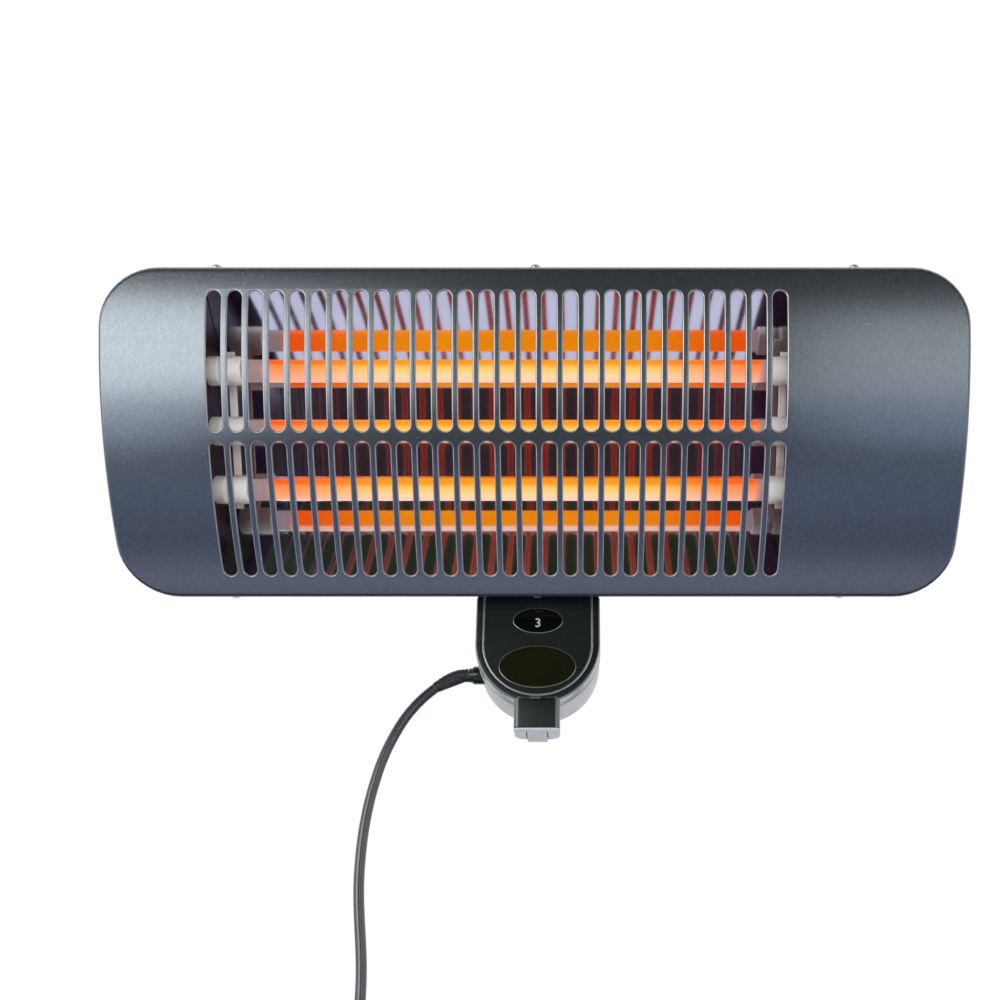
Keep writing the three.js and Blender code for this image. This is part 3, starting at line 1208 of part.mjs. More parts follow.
function buildCord(base) {
  const route = CORD_ROUTE.map((p) => [...p]);
  const start = [GLAND_TIP_X - SEAT_GAP, GLAND_Y, GLAND_Z];
  piece(base, 'power_cord', 'cord', tubeAlong([start, ...route], CORD_DIAMETER, CORD_SIDES, 32));

  const ring = ringPoints();
  piece(base, 'cord_coil', 'cord', woundTube(ring.points, CORD_DIAMETER / 2, RING_SIDES));
  console.log('cord coil, least gap to itself, mm:', leastGap(ring.points, CORD_DIAMETER / 2).toFixed(2));
  const total = lineLength([start, ...route]) + lineLength(ring.points);
  console.log('whole lead from gland to plug, mm:', total.toFixed(0));

  const layers = RING_LAYER_STEP / 2 + CORD_DIAMETER / 2 + TIE_GAP;
  const inner = RING_INNER_RADIUS - CORD_DIAMETER / 2 - TIE_GAP;
  const outer = RING_OUTER_RADIUS + CORD_DIAMETER / 2 + TIE_GAP;
  const loop = [point(-layers, inner), point(layers, inner), point(layers, outer), point(-layers, outer)];
  const wall = TIE_WALL;
  const skin = [
    point(-layers - wall, inner - wall), point(layers + wall, inner - wall),
    point(layers + wall, outer + wall), point(-layers - wall, outer + wall),
  ];
  const tie = cut(
    sideSolid(skin, -TIE_WIDTH / 2, TIE_WIDTH / 2),
    [sideSolid(loop, -TIE_WIDTH, TIE_WIDTH)],
  );
  piece(base, 'cord_tie', 'black', tie).position.set(ring.centreX, ring.y, ring.centreZ);

  const [plugX, plugY, plugZ] = ring.points.at(-1);
  const neck = PLUG_NECK_DIAMETER / 2;
  const body = PLUG_DIAMETER / 2;
  const whole = PLUG_NECK_LENGTH + PLUG_LENGTH;
  const profile = [
    [0, 0], [neck - 2, 0], [neck, PLUG_NECK_LENGTH], [body, PLUG_NECK_LENGTH + 8],
    [body, whole - 1], [body - 1, whole], [0, whole],
  ];
  const pinHoles = [-1, 1].map((side) => {
    const hole = rod(PLUG_PIN_DIAMETER / 2 + RUNNING_GAP, whole - PLUG_PIN_SEAT, whole + 2, DOWN, 12);
    hole.translate((side * PLUG_PIN_SPACING) / 2, 0, 0);
    return hole;
  });
  const plug = cut(turned(profile, DOWN, 20), pinHoles);
  piece(base, 'plug_body', 'black', plug).position.set(plugX, plugY, plugZ - SEAT_GAP);
  [['left', -1], ['right', 1]].forEach(([side, sign]) => {
    const pin = rod(
      PLUG_PIN_DIAMETER / 2, whole - PLUG_PIN_SEAT + SEAT_GAP, whole + PLUG_PIN_LENGTH, DOWN, 12,
    );
    piece(base, `plug_pin_${side}`, 'brass', pin)
      .position.set(plugX + (sign * PLUG_PIN_SPACING) / 2, plugY, plugZ - SEAT_GAP);
  });
}

// ---- Assembly ------------------------------------------------------------------------------------

const heater = new THREE.Group();
heater.name = 'bar_heater';

const head = new THREE.Group();
head.name = 'head';
head.position.set(0, HEAD_CENTRE_Y, HEAD_CENTRE_Z);
head.rotation.x = HEAD_TILT;
heater.add(head);

const base = new THREE.Group();
base.name = 'base';
heater.add(base);

buildFrontPanel(head);
buildRearHousing(head);
buildPanelScrews(head);
buildReflector(head);
buildEndPlates(head);
buildTubes(head);
buildHeatingCoils(head);
buildRailsAndLink(head);
buildConnectionSpace(head);
buildTiltBracket(head);
buildHeadLead(head);
buildWallBracket(base);
buildPivots(base);
buildKnobs(base);
buildRearShell(base);
buildFrontCover(base);
buildWindow(base, 'display_window', 'glass', DISPLAY_WIDTH, DISPLAY_HEIGHT, DISPLAY_Z);
buildWindow(base, 'receiver_window', 'glass', RECEIVER_WIDTH, RECEIVER_HEIGHT, RECEIVER_Z);
buildDigit(base);
buildBoxScrews(base);
buildElectronics(base);
buildSwitchBlock(base);
buildRocker(base);
buildGlandAndBoxLead(base);
buildCord(base);

export default heater;
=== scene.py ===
"""A wall-hung electric bar heater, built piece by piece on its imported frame.

Metres throughout, in the frame's own axes: X to the right, the front faces -Y, Z up.
"""

import math

import bmesh
import bpy
from bpy.props import FloatProperty, FloatVectorProperty, IntProperty, PointerProperty
from mathutils import Matrix, Vector
from mathutils.geometry import interpolate_bezier


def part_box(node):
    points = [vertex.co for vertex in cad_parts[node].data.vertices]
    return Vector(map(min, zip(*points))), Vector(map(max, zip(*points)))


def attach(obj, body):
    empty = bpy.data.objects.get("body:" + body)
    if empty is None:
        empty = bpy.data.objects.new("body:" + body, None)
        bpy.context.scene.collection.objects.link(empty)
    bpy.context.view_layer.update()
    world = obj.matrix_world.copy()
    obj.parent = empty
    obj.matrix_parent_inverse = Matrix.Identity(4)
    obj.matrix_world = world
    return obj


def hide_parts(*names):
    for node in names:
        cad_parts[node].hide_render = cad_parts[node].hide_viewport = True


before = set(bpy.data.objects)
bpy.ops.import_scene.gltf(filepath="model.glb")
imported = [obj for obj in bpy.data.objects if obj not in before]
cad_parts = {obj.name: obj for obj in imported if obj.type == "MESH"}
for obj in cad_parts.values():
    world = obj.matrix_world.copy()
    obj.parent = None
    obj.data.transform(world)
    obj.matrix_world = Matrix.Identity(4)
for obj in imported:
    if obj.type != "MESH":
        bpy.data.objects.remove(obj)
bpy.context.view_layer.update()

bl_info = {
    "name": "Electric Bar Heater",
    "version": (1, 0, 0),
    "blender": (4, 5, 0),
    "location": "3D View > Sidebar > Heater",
    "description": "Builds a tilting quartz bar heater with its control box and mains lead",
    "category": "Object",
}

MM = 0.001

# The head's own frame: X right, Y into the head, Z up along the panel
HEAD_TILT = math.radians(30)
HEAD = Matrix.Translation((0, -125.65 * MM, 47.75 * MM)) @ Matrix.Rotation(HEAD_TILT, 4, "X")
HINGE = Vector((0, -49.83 * MM, 68.43 * MM))

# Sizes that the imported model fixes
BOW_RADIUS = 315 * MM
BOW_ANGLE = math.radians(18.5)
BOW_CENTRE = BOW_RADIUS * math.cos(BOW_ANGLE)
PANEL_HALF_WIDTH = 260 * MM
PANEL_HALF_HEIGHT = BOW_RADIUS * math.sin(BOW_ANGLE)
PANEL_SHEET = 1.2 * MM
FLANGE_DEPTH = 14 * MM
SEAM = 0.3 * MM
HOUSING_DEPTH = 58 * MM
HOUSING_LIP = (258.4 * MM, PANEL_HALF_HEIGHT - 1.6 * MM, 32.4 * MM)
HOUSING_BACK = (232.4 * MM, PANEL_HALF_HEIGHT - 27.6 * MM, 20 * MM)
REFLECTOR_X = -19 * MM
REFLECTOR_HALF = 186.7 * MM
REFLECTOR_BACK = 44 * MM
REFLECTOR_FLAT = 45 * MM
REFLECTOR_FLARE = math.radians(27.6)
REFLECTOR_SHEET = 0.8 * MM
TUBE_Y = 20 * MM
TUBE_LIFT = 3.8 * MM
TUBE_SPACING = 37 * MM
PANEL_SCREWS = (("left", -193 * MM), ("centre", 0.0), ("right", 193 * MM))
VENTS = 7
VENT_PITCH = 30 * MM
VENT_HEIGHTS = (29 * MM, 55 * MM)
SLEEVE_DIAMETER = 2.8 * MM
CUTOUT_RADIUS = 8.5 * MM
KNOB_RADIUS = 13 * MM
KNOB_LOBES = 6
KNOB_LOBE_DEPTH = 0.8 * MM
KNOB_BORE = (3.3 * MM, 13 * MM)
BOX_FRONT = -57 * MM
BOX_JOIN = -42 * MM
BOX_REAR = -3.3 * MM
SWITCH_Y = (-57 * MM, -30 * MM)
DISPLAY_Z = -47.7 * MM
RECEIVER_Z = -78.9 * MM
NUMERAL_Z = -49.3 * MM
NUMERAL_HEIGHT = 8.5 * MM
ROCKER_PIVOT = Vector((0, -42 * MM, -116.3 * MM))
LEVELS = ("top", "middle", "bottom")


# ---- Settings --------------------------------------------------------------------------------------


class HeaterPanelSettings(bpy.types.PropertyGroup):
    corner: FloatProperty(name="Corner radius", description="Radius of the panel's four corners",
                          default=34 * MM, unit="LENGTH")
    edge_fillet: FloatProperty(name="Edge fillet", description="Rounding from the face to the flange",
                               default=2.5 * MM, unit="LENGTH")
    slot_columns: IntProperty(name="Slot columns", description="Slots in each of the two rows", default=28)
    slot_pitch: FloatProperty(name="Slot pitch", description="From one slot to the next",
                              default=12.5 * MM, unit="LENGTH")
    slot_width: FloatProperty(name="Slot width", description="Clear width of a slot",
                              default=8.6 * MM, unit="LENGTH")
    slot_arc: FloatProperty(name="Slot length", description="Length of a slot along the bow",
                            default=83.8 * MM, unit="LENGTH")
    crossbar_arc: FloatProperty(name="Crossbar", description="Sheet left between the two rows",
                                default=6 * MM, unit="LENGTH")
    slot_rim: FloatProperty(name="Slot rim", description="Radius of the rolled edge round a slot",
                            default=0.8 * MM, unit="LENGTH")
    grille_x: FloatProperty(name="Grille middle", description="Middle of the grille from the panel's middle",
                            default=-22.6 * MM, unit="LENGTH")


class HeaterTubeSettings(bpy.types.PropertyGroup):
    diameter: FloatProperty(name="Tube diameter", description="Outside of a quartz tube",
                            default=14 * MM, unit="LENGTH")
    length: FloatProperty(name="Tube length", description="Length of a quartz tube",
                          default=356.8 * MM, unit="LENGTH")
    cap_diameter: FloatProperty(name="Cap diameter", description="Outside of a ceramic cap",
                                default=18 * MM, unit="LENGTH")
    cap_length: FloatProperty(name="Cap length", description="Length of a ceramic cap",
                              default=22 * MM, unit="LENGTH")
    coil_curls: IntProperty(name="Coil turns", description="Turns of wire in a tube", default=44)


class HeaterBoxSettings(bpy.types.PropertyGroup):
    half_width: FloatProperty(name="Half width", description="Half of the control box's width",
                              default=40.7 * MM, unit="LENGTH")
    top: FloatProperty(name="Top", description="Height of the box's top", default=-32 * MM, unit="LENGTH")
    bottom: FloatProperty(name="Bottom", description="Height of the box's round bottom",
                          default=-103.2 * MM, unit="LENGTH")
    rim_inset: FloatProperty(name="Rim inset", description="From the box's side to the raised rim",
                             default=4.9 * MM, unit="LENGTH")
    rim_width: FloatProperty(name="Rim width", description="Width of the raised rim",
                             default=1.6 * MM, unit="LENGTH")
    display: FloatVectorProperty(name="Display window", description="Width and height of the upper window",
                                 size=2, default=(32.6 * MM, 17.5 * MM), unit="LENGTH")
    receiver: FloatVectorProperty(name="Receiver window", description="Width and height of the lower window",
                                  size=2, default=(49.4 * MM, 28.1 * MM), unit="LENGTH")


class HeaterLeadSettings(bpy.types.PropertyGroup):
    diameter: FloatProperty(name="Lead diameter", description="Outside of the mains lead",
                            default=6.8 * MM, unit="LENGTH")
    length: FloatProperty(name="Lead length", description="From the gland to the plug",
                          default=1.55, unit="LENGTH")
    plug_diameter: FloatProperty(name="Plug diameter", description="Widest part of the plug",
                                 default=36 * MM, unit="LENGTH")


class HeaterColourSettings(bpy.types.PropertyGroup):
    panel: FloatVectorProperty(name="Panel", description="Satin metallic paint of the panel",
                               subtype="COLOR", default=(0.155, 0.172, 0.19))
    housing: FloatVectorProperty(name="Housing", description="Powder coat of the sheet steel",
                                 subtype="COLOR", default=(0.022, 0.023, 0.025))
    plastic: FloatVectorProperty(name="Pale plastic", description="Plastic of the control box",
                                 subtype="COLOR", default=(0.24, 0.245, 0.26))
    gloss: FloatVectorProperty(name="Gloss black", description="Plastic of the box's cover",
                               subtype="COLOR", default=(0.004, 0.006, 0.005))
    lead: FloatVectorProperty(name="Lead", description="Jacket of the mains lead",
                              subtype="COLOR", default=(0.02, 0.021, 0.024))


# ---- Materials -------------------------------------------------------------------------------------


def seen(red, green, blue):
    """A colour as it is seen, 0 to 255, in the renderer's linear values."""
    parts = [value / 255 for value in (red, green, blue)]
    return tuple(p / 12.92 if p <= 0.04045 else ((p + 0.055) / 1.055) ** 2.4 for p in parts) + (1.0,)


class Value:
    """A socket that can stand in a Python expression."""

    def __init__(self, finish, socket):
        self.finish = finish
        self.socket = socket

    def _math(self, operation, *terms):
        return self.finish.node("ShaderNodeMath", {"operation": operation}, dict(enumerate(terms)))

    def __add__(self, other):
        return self._math("ADD", self, other)

    def __sub__(self, other):
        return self._math("SUBTRACT", self, other)

    def __rsub__(self, other):
        return self._math("SUBTRACT", other, self)

    def __mul__(self, other):
        return self._math("MULTIPLY", self, other)

    def __truediv__(self, other):
        return self._math("DIVIDE", self, other)

    __radd__ = __add__
    __rmul__ = __mul__

    def call(self, operation, *terms):
        return self._math(operation, self, *terms)

    def between(self, low, high):
        """0 at the low value, 1 at the high one, eased at both ends."""
        return self.finish.node(
            "ShaderNodeMapRange", {"interpolation_type": "SMOOTHSTEP"}, {0: self, 1: low, 2: high},
        )


class Finish:
    """A material in the making."""

    def __init__(self, name, **constants):
        self.material = bpy.data.materials.new(f"{name}_finish")
        self.material.use_nodes = True
        self.tree = self.material.node_tree
        self.surface = self.tree.nodes["Principled BSDF"]
        for word, value in constants.items():
            self.surface.inputs[word.replace("_", " ").title().replace("Ior", "IOR")].default_value = value

    def feed(self, socket, value):
        if isinstance(value, Value):
            self.tree.links.new(value.socket, socket)
        else:
            socket.default_value = value

    def node(self, kind, settings, inputs, output=0):
        """Any node: its settings first, then the values or links of its sockets."""
        made = self.tree.nodes.new(kind)
        for word, value in settings.items():
            if word == "stops":
                ramp = made.color_ramp.elements
                while len(ramp) < len(value):
                    ramp.new(0.5)
                for stop, (place, colour) in zip(ramp, value):
                    stop.position, stop.color = place, colour
            else:
                setattr(made, word, value)
        for word, value in inputs.items():
            self.feed(made.inputs[word], value)
        return Value(self, made.outputs[output])

    def place(self, turn=0.0, scale=(1, 1, 1), location=(0, 0, 0)):
        """Object coordinates, turned about X and scaled."""
        here = self.node("ShaderNodeTexCoord", {}, {}, "Object")
        return self.node("ShaderNodeMapping", {}, {
            "Vector": here, "Location": location, "Rotation": (turn, 0, 0), "Scale": scale,
        })

    def axes(self, vector):
        return [self.node("ShaderNodeSeparateXYZ", {}, {0: vector}, axis) for axis in "XYZ"]

    def attribute(self, name):
        return self.node("ShaderNodeAttribute", {"attribute_name": name}, {}, "Fac")

    def noise(self, scale, detail=3.0, roughness=0.55, vector=None):
        return self.node("ShaderNodeTexNoise", {}, {
            "Vector": vector or self.place(), "Scale": scale, "Detail": detail, "Roughness": roughness,
        })

    def mix(self, factor, first, second):
        return self.node("ShaderNodeMix", {"data_type": "RGBA"}, {0: factor, 6: first, 7: second}, 2)

    def ramp(self, factor, stops):
        return self.node("ShaderNodeValToRGB", {"stops": stops}, {0: factor})

    def wear(self, base=None, roughness=None, metallic=None, emission=None, height=None, depth=0.05 * MM,
             strength=0.4):
        """Links what varies over the surface, and returns the finished material."""
        if base is not None:
            self.feed(self.surface.inputs["Base Color"], base)
        if roughness is not None:
            self.feed(self.surface.inputs["Roughness"], roughness)
        if metallic is not None:
            self.feed(self.surface.inputs["Metallic"], metallic)
        if emission is not None:
            self.feed(self.surface.inputs["Emission Color"], emission)
        if height is not None:
            bump = self.node("ShaderNodeBump", {}, {"Strength": strength, "Distance": depth, "Height": height})
            self.feed(self.surface.inputs["Normal"], bump)
        return self.material


def shade(colour, factor):
    return tuple(min(1.0, part * factor) for part in colour[:3]) + (1.0,)


def panel_paint(colours):
    """Metallic paint with a painted highlight on the rolled slot edges, and the tubes' glow painted on its inner
    face.
    """
    finish = Finish("panel_paint")
    edge = finish.attribute("rolled_edge")
    inside = finish.attribute("inside_face")
    along = finish.place(-HEAD_TILT, (1, 1, 0.045))
    grain = finish.noise(2600, 2, 0.6, along)
    streak = finish.noise(420, 3, 0.5, along)
    mottle = finish.noise(1000, 3, 0.6)
    tone = grain * 0.4 + streak * 0.15 + mottle * 0.45
    paint = finish.mix(tone.between(0.25, 0.75), shade(colours.panel, 0.74), shade(colours.panel, 1.28))
    # painted highlight: the rolled slot edges are mixed towards a lighter grey metal
    outside = finish.mix(edge * 0.75, paint, (0.5, 0.52, 0.53, 1))
    # painted glow of the tubes on the inner face: dark red in the middle, fading to navy towards the ends
    sideways = finish.axes(finish.place())[0].call("ABSOLUTE").between(60 * MM, 175 * MM)
    painted_tube_glow = finish.mix(sideways, (0.42, 0.012, 0.022, 1), (0.06, 0.05, 0.16, 1))
    return finish.wear(
        finish.mix(inside, outside, painted_tube_glow), roughness=mottle * 0.08 + grain * 0.08 + 0.17 + edge * 0.1,
        metallic=0.94 - inside * 0.94, height=grain * 0.6 + mottle * 0.4, depth=0.03 * MM, strength=0.13,
    )


def powder_coat(colours):
    finish = Finish("powder_coat", coat_weight=0.1, coat_roughness=0.3)
    peel = finish.noise(900, 2, 0.5)
    dust = finish.noise(60, 4, 0.6)
    base = finish.mix(dust.between(0.35, 0.8), shade(colours.housing, 0.95), shade(colours.housing, 1.25))
    return finish.wear(base, roughness=dust * 0.2 + 0.34, height=peel, depth=0.08 * MM, strength=0.35)


def polished_sheet():
    finish = Finish("polished_reflector", metallic=1.0)
    along = finish.place(-HEAD_TILT, (0.03, 1, 1))
    roll = finish.noise(900, 2, 0.5, along)
    wave = finish.noise(14, 2, 0.4)
    haze = finish.noise(45, 4, 0.6)
    base = finish.mix(haze.between(0.3, 0.8), (0.74, 0.73, 0.78, 1), (0.82, 0.81, 0.84, 1))
    return finish.wear(
        base, roughness=roll * 0.05 + haze * 0.05 + 0.03, height=wave + roll * 0.01, depth=0.5 * MM, strength=0.12,
    )


def zinc_plate(name="zinc_plate", tint=(0.62, 0.63, 0.65, 1)):
    finish = Finish(name, metallic=1.0)
    cloud = finish.noise(160, 4, 0.6)
    fine = finish.noise(2400, 2, 0.5)
    base = finish.mix(cloud.between(0.3, 0.75), shade(tint, 0.72), shade(tint, 1.06))
    return finish.wear(base, roughness=cloud * 0.2 + fine * 0.1 + 0.2, height=fine, depth=0.02 * MM)


def fired_ceramic():
    finish = Finish("fired_ceramic", specular_ior_level=0.4)
    pores = finish.node("ShaderNodeTexVoronoi", {}, {"Vector": finish.place(), "Scale": 2400.0})
    stain = finish.noise(70, 4, 0.6)
    base = finish.mix(stain.between(0.5, 0.8), (0.74, 0.725, 0.70, 1), (0.46, 0.38, 0.31, 1))
    return finish.wear(base, roughness=stain * 0.25 + 0.42, height=pores, depth=0.04 * MM)


def hot_quartz(tube):
    """Milky quartz, brightest on the side that faces the room and below its middle, cooler at its ends."""
    finish = Finish("hot_quartz", roughness=0.35, emission_strength=1.0, specular_ior_level=0.15,
                    base_color=(0.08, 0.03, 0.015, 1))
    centre = HEAD.inverted().to_translation()
    x, y, z = finish.axes(finish.place(-HEAD_TILT, location=centre))
    radius = tube.diameter / 2
    across = (y - TUBE_Y) / radius
    upward = (z - TUBE_LIFT).call("WRAP", TUBE_SPACING / 2, -TUBE_SPACING / 2) / radius
    facing = (across * -0.84 + upward * -0.545).between(0.30, 0.48)
    along = (x + 15 * MM).call("ABSOLUTE")
    end = along.between(70 * MM, 150 * MM)
    low = (0.55 - upward) / 1.55 + finish.noise(60, 2, 0.5) * 0.16 - 0.08
    hot = finish.ramp(low, (
        (0.0, seen(255, 168, 40)), (0.3, seen(255, 202, 104)), (0.65, seen(254, 214, 160)),
        (0.95, seen(250, 208, 190)),
    ))
    cool = finish.ramp(low, (
        (0.0, seen(255, 122, 40)), (0.45, seen(250, 146, 92)), (0.95, seen(246, 178, 154)),
    ))
    deep = finish.mix(end, seen(255, 148, 3), seen(252, 92, 6))
    lit = finish.mix(facing, deep, finish.mix(end, hot, cool))
    return finish.wear(emission=finish.mix(along.between(152 * MM, 158 * MM), lit, seen(142, 126, 130)))


def hot_wire():
    finish = Finish("hot_wire", metallic=0.8, roughness=0.5, emission_strength=1.2)
    scale = finish.noise(900, 2, 0.5)
    return finish.wear(
        base=finish.mix(scale, (0.25, 0.1, 0.05, 1), (0.5, 0.22, 0.1, 1)),
        emission=finish.mix(scale, seen(255, 90, 20), seen(255, 140, 50)),
    )


def woven_sleeve():
    finish = Finish("woven_sleeve", sheen_weight=0.3)
    braid = finish.node("ShaderNodeTexMagic", {"turbulence_depth": 1}, {
        "Vector": finish.place(), "Scale": 2200.0, "Distortion": 1.0,
    }, 1)
    base = finish.mix(braid, (0.5, 0.47, 0.41, 1), (0.8, 0.77, 0.7, 1))
    return finish.wear(base, roughness=braid * 0.2 + 0.6, height=braid, depth=0.15 * MM)


def brass_strip():
    finish = Finish("brass_strip", metallic=1.0)
    tarnish = finish.noise(120, 4, 0.6)
    base = finish.mix(tarnish.between(0.4, 0.8), (0.72, 0.5, 0.2, 1), (0.4, 0.25, 0.1, 1))
    return finish.wear(base, roughness=tarnish * 0.25 + 0.16, height=tarnish, depth=0.02 * MM)


def gloss_black(colours):
    finish = Finish("gloss_black", coat_weight=0.25, coat_roughness=0.06)
    flow = finish.noise(30, 3, 0.5)
    fine = finish.noise(700, 2, 0.5)
    edge = finish.attribute("rolled_edge")
    base = finish.mix(flow, shade(colours.gloss, 0.7), shade(colours.gloss, 1.6))
    # painted highlight: the marked edges are mixed towards a light grey metal
    return finish.wear(
        finish.mix(edge, base, (0.30, 0.31, 0.31, 1)), roughness=flow * 0.14 + fine * 0.05 + 0.16,
        metallic=edge * 0.8, height=fine, depth=0.02 * MM,
    )


def smoked_window(name="smoked_window", green=1.0):
    finish = Finish(name, coat_weight=0.5, coat_roughness=0.03)
    tint = finish.noise(25, 2, 0.5)
    edge = finish.attribute("rolled_edge")
    base = finish.mix(
        tint, shade((0.003, 0.0035, 0.001), green), shade((0.0065, 0.0075, 0.0025), green),
    )
    # painted highlight: the pane's marked lip is mixed towards a light metal
    return finish.wear(
        finish.mix(edge, base, (0.2, 0.21, 0.16, 1)), roughness=tint * 0.06 + 0.05, metallic=edge * 0.7,
    )


def display_light():
    finish = Finish("display_light", roughness=0.4, emission_strength=0.5)
    glow = finish.noise(500, 1, 0.5)
    return finish.wear(
        base=finish.mix(glow, (0.08, 0.08, 0.09, 1), (0.12, 0.12, 0.13, 1)),
        emission=finish.mix(glow, seen(170, 170, 182), seen(205, 205, 214)),
    )


def pale_plastic(colours):
    finish = Finish("pale_plastic", specular_ior_level=0.45)
    grain = finish.noise(1500, 3, 0.6)
    cloud = finish.noise(40, 3, 0.6)
    base = finish.mix(cloud, shade(colours.plastic, 1.16), shade(colours.plastic, 1.38))
    return finish.wear(base, roughness=grain * 0.12 + 0.3, height=grain, depth=0.03 * MM)


def circuit_board():
    finish = Finish("circuit_board", coat_weight=0.4, coat_roughness=0.2)
    tracks = finish.node("ShaderNodeTexBrick", {}, {
        "Vector": finish.place(math.radians(90)), "Scale": 160.0, "Mortar Size": 0.05,
        "Color1": (0.02, 0.13, 0.05, 1), "Color2": (0.03, 0.17, 0.07, 1), "Mortar": (0.10, 0.30, 0.12, 1),
    })
    return finish.wear(base=tracks, roughness=finish.noise(400) * 0.2 + 0.3)


def relay_case():
    finish = Finish("relay_case")
    grain = finish.noise(900, 3, 0.5)
    base = finish.mix(grain, (0.03, 0.12, 0.34, 1), (0.05, 0.17, 0.44, 1))
    return finish.wear(base, roughness=grain * 0.15 + 0.3, height=grain, depth=0.03 * MM)


def lead_jacket(colours, name="lead_jacket", lift=1.0, gloss=1.0):
    finish = Finish(
        name, specular_ior_level=0.6 + 0.3 * gloss, coat_weight=0.35 * gloss, coat_roughness=0.14,
    )
    scuff = finish.noise(90, 4, 0.65)
    grain = finish.noise(1800, 2, 0.5)
    base = finish.mix(
        scuff.between(0.35, 0.8), shade(colours.lead, 0.45 * lift), shade(colours.lead, 0.9 * lift),
    )
    return finish.wear(
        base, roughness=scuff * 0.14 + grain * 0.06 + 0.32 - 0.16 * gloss, height=grain, depth=0.02 * MM,
        strength=0.25,
    )


MAKERS = {
    "panel_paint": lambda s: panel_paint(s.heater_colours),
    "powder_coat": lambda s: powder_coat(s.heater_colours),
    "polished_reflector": lambda s: polished_sheet(),
    "zinc_plate": lambda s: zinc_plate(),
    "aluminised_sheet": lambda s: zinc_plate("aluminised_sheet", (0.10, 0.10, 0.11, 1)),
    "fired_ceramic": lambda s: fired_ceramic(),
    "hot_quartz": lambda s: hot_quartz(s.heater_tubes),
    "hot_wire": lambda s: hot_wire(),
    "woven_sleeve": lambda s: woven_sleeve(),
    "brass_strip": lambda s: brass_strip(),
    "gloss_black": lambda s: gloss_black(s.heater_colours),
    "smoked_window": lambda s: smoked_window(),
    "display_light": lambda s: display_light(),
    "pale_plastic": lambda s: pale_plastic(s.heater_colours),
    "circuit_board": lambda s: circuit_board(),
    "relay_case": lambda s: relay_case(),
    "lead_jacket": lambda s: lead_jacket(s.heater_colours),
    "plug_rubber": lambda s: lead_jacket(s.heater_colours, "plug_rubber", 0.8, 0.0),
    "dark_window": lambda s: smoked_window("dark_window", 0.2),
}


def material(name):
    """A finish by name, made the first time that it is asked for."""
    return bpy.data.materials.get(f"{name}_finish") or MAKERS[name](bpy.context.scene)


# ---- Mesh helpers ----------------------------------------------------------------------------------


def merge(bm):
    bmesh.ops.remove_doubles(bm, verts=bm.verts, dist=0.002 * MM)
    bmesh.ops.recalc_face_normals(bm, faces=bm.faces)


def ease(bm, radius, segments=2, angle=35):
    """Rounds every edge that is sharper than the angle."""
    sharp = [e for e in bm.edges if e.is_manifold and e.calc_face_angle(0) > math.radians(angle)]
    bmesh.ops.bevel(
        bm, geom=sharp, offset=radius, offset_type="OFFSET", segments=segments, profile=0.5,
        affect="EDGES", clamp_overlap=True, material=-1,
    )


def dress(name, bm, finish, body, stands_for=(), place=None, sharp=35):
    """Turns a finished bmesh into a piece of the heater that rides on a body."""
    if place is not None:
        bmesh.ops.transform(bm, matrix=place, verts=bm.verts)
    for face in bm.faces:
        face.smooth = True
    for edge in bm.edges:
        edge.smooth = edge.is_manifold and edge.calc_face_angle(0) < math.radians(sharp)
    mesh = bpy.data.meshes.new(name)
    bm.to_mesh(mesh)
    bm.free()
    mesh.materials.append(material(finish))
    obj = bpy.data.objects.new(name, mesh)
    bpy.context.scene.collection.objects.link(obj)
    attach(obj, body)
    if stands_for:
        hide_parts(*stands_for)
    return obj


def turned(profile, segments=48, closed=False):
    """A turned shape about +X, from pairs of distance along the axis and radius."""
    bm = bmesh.new()
    chain = [bm.verts.new((along, 0, radius)) for along, radius in profile]
    pairs = list(zip(chain, chain[1:])) + ([(chain[-1], chain[0])] if closed else [])
    edges = [bm.edges.new(pair) for pair in pairs]
    bmesh.ops.spin(
        bm, geom=chain + edges, cent=(0, 0, 0), axis=(1, 0, 0), angle=math.tau, steps=segments,
        use_merge=True, use_duplicate=False,
    )
    merge(bm)
    return bm


def aim(origin, direction):
    """A place for a turned shape: its +X is turned to the direction."""
    turn = Vector((1, 0, 0)).rotation_difference(Vector(direction)).to_matrix().to_4x4()
    return Matrix.Translation(origin) @ turn


def front_rectangle(bm, half_width, bottom, top, x=0.0, y=0.0):
    """A face in X and Z that looks to the front, before its corners are rounded."""
    made = bmesh.ops.create_grid(
        bm, x_segments=1, y_segments=1, size=1.0, matrix=Matrix.Rotation(math.pi / 2, 4, "X"),
    )["verts"]
    for v in made:
        v.co = (x + v.co.x * half_width, y, bottom + (v.co.z + 1) / 2 * (top - bottom))
    return made


def round_corners(bm, corners, radius, segments):
    bmesh.ops.bevel(
        bm, geom=corners, offset=radius, offset_type="OFFSET", segments=segments, profile=0.5,
        affect="VERTICES", clamp_overlap=False, material=-1,
    )


def rounded_face(bm, half_width, bottom, top, lower, upper, segments=10, x=0.0, y=0.0):
    """A front-facing face with its own radius for the lower and the upper corners."""
    made = front_rectangle(bm, half_width, bottom, top, x, y)
    middle = (bottom + top) / 2
    low = [v for v in made if v.co.z < middle]
    high = [v for v in made if v.co.z > middle]
    before = set(bm.verts) - set(made)
    round_corners(bm, low, lower, segments)
    round_corners(bm, high, upper, segments)
    return [v for v in bm.verts if v not in before]


def grow_loop(bm, edges, place):
    """Extrudes a loop of edges, and puts each new corner where place says."""
    made = bmesh.ops.extrude_edge_only(bm, edges=edges)["geom"]
    corners = {v for v in made if isinstance(v, bmesh.types.BMVert)}
    for v in corners:
        v.co = place(v)
    return [
        e for e in made
        if isinstance(e, bmesh.types.BMEdge) and e.verts[0] in corners and e.verts[1] in corners
    ]


def open_edges(bm, test=lambda edge: True):
    return [e for e in bm.edges if e.is_boundary and test(e)]


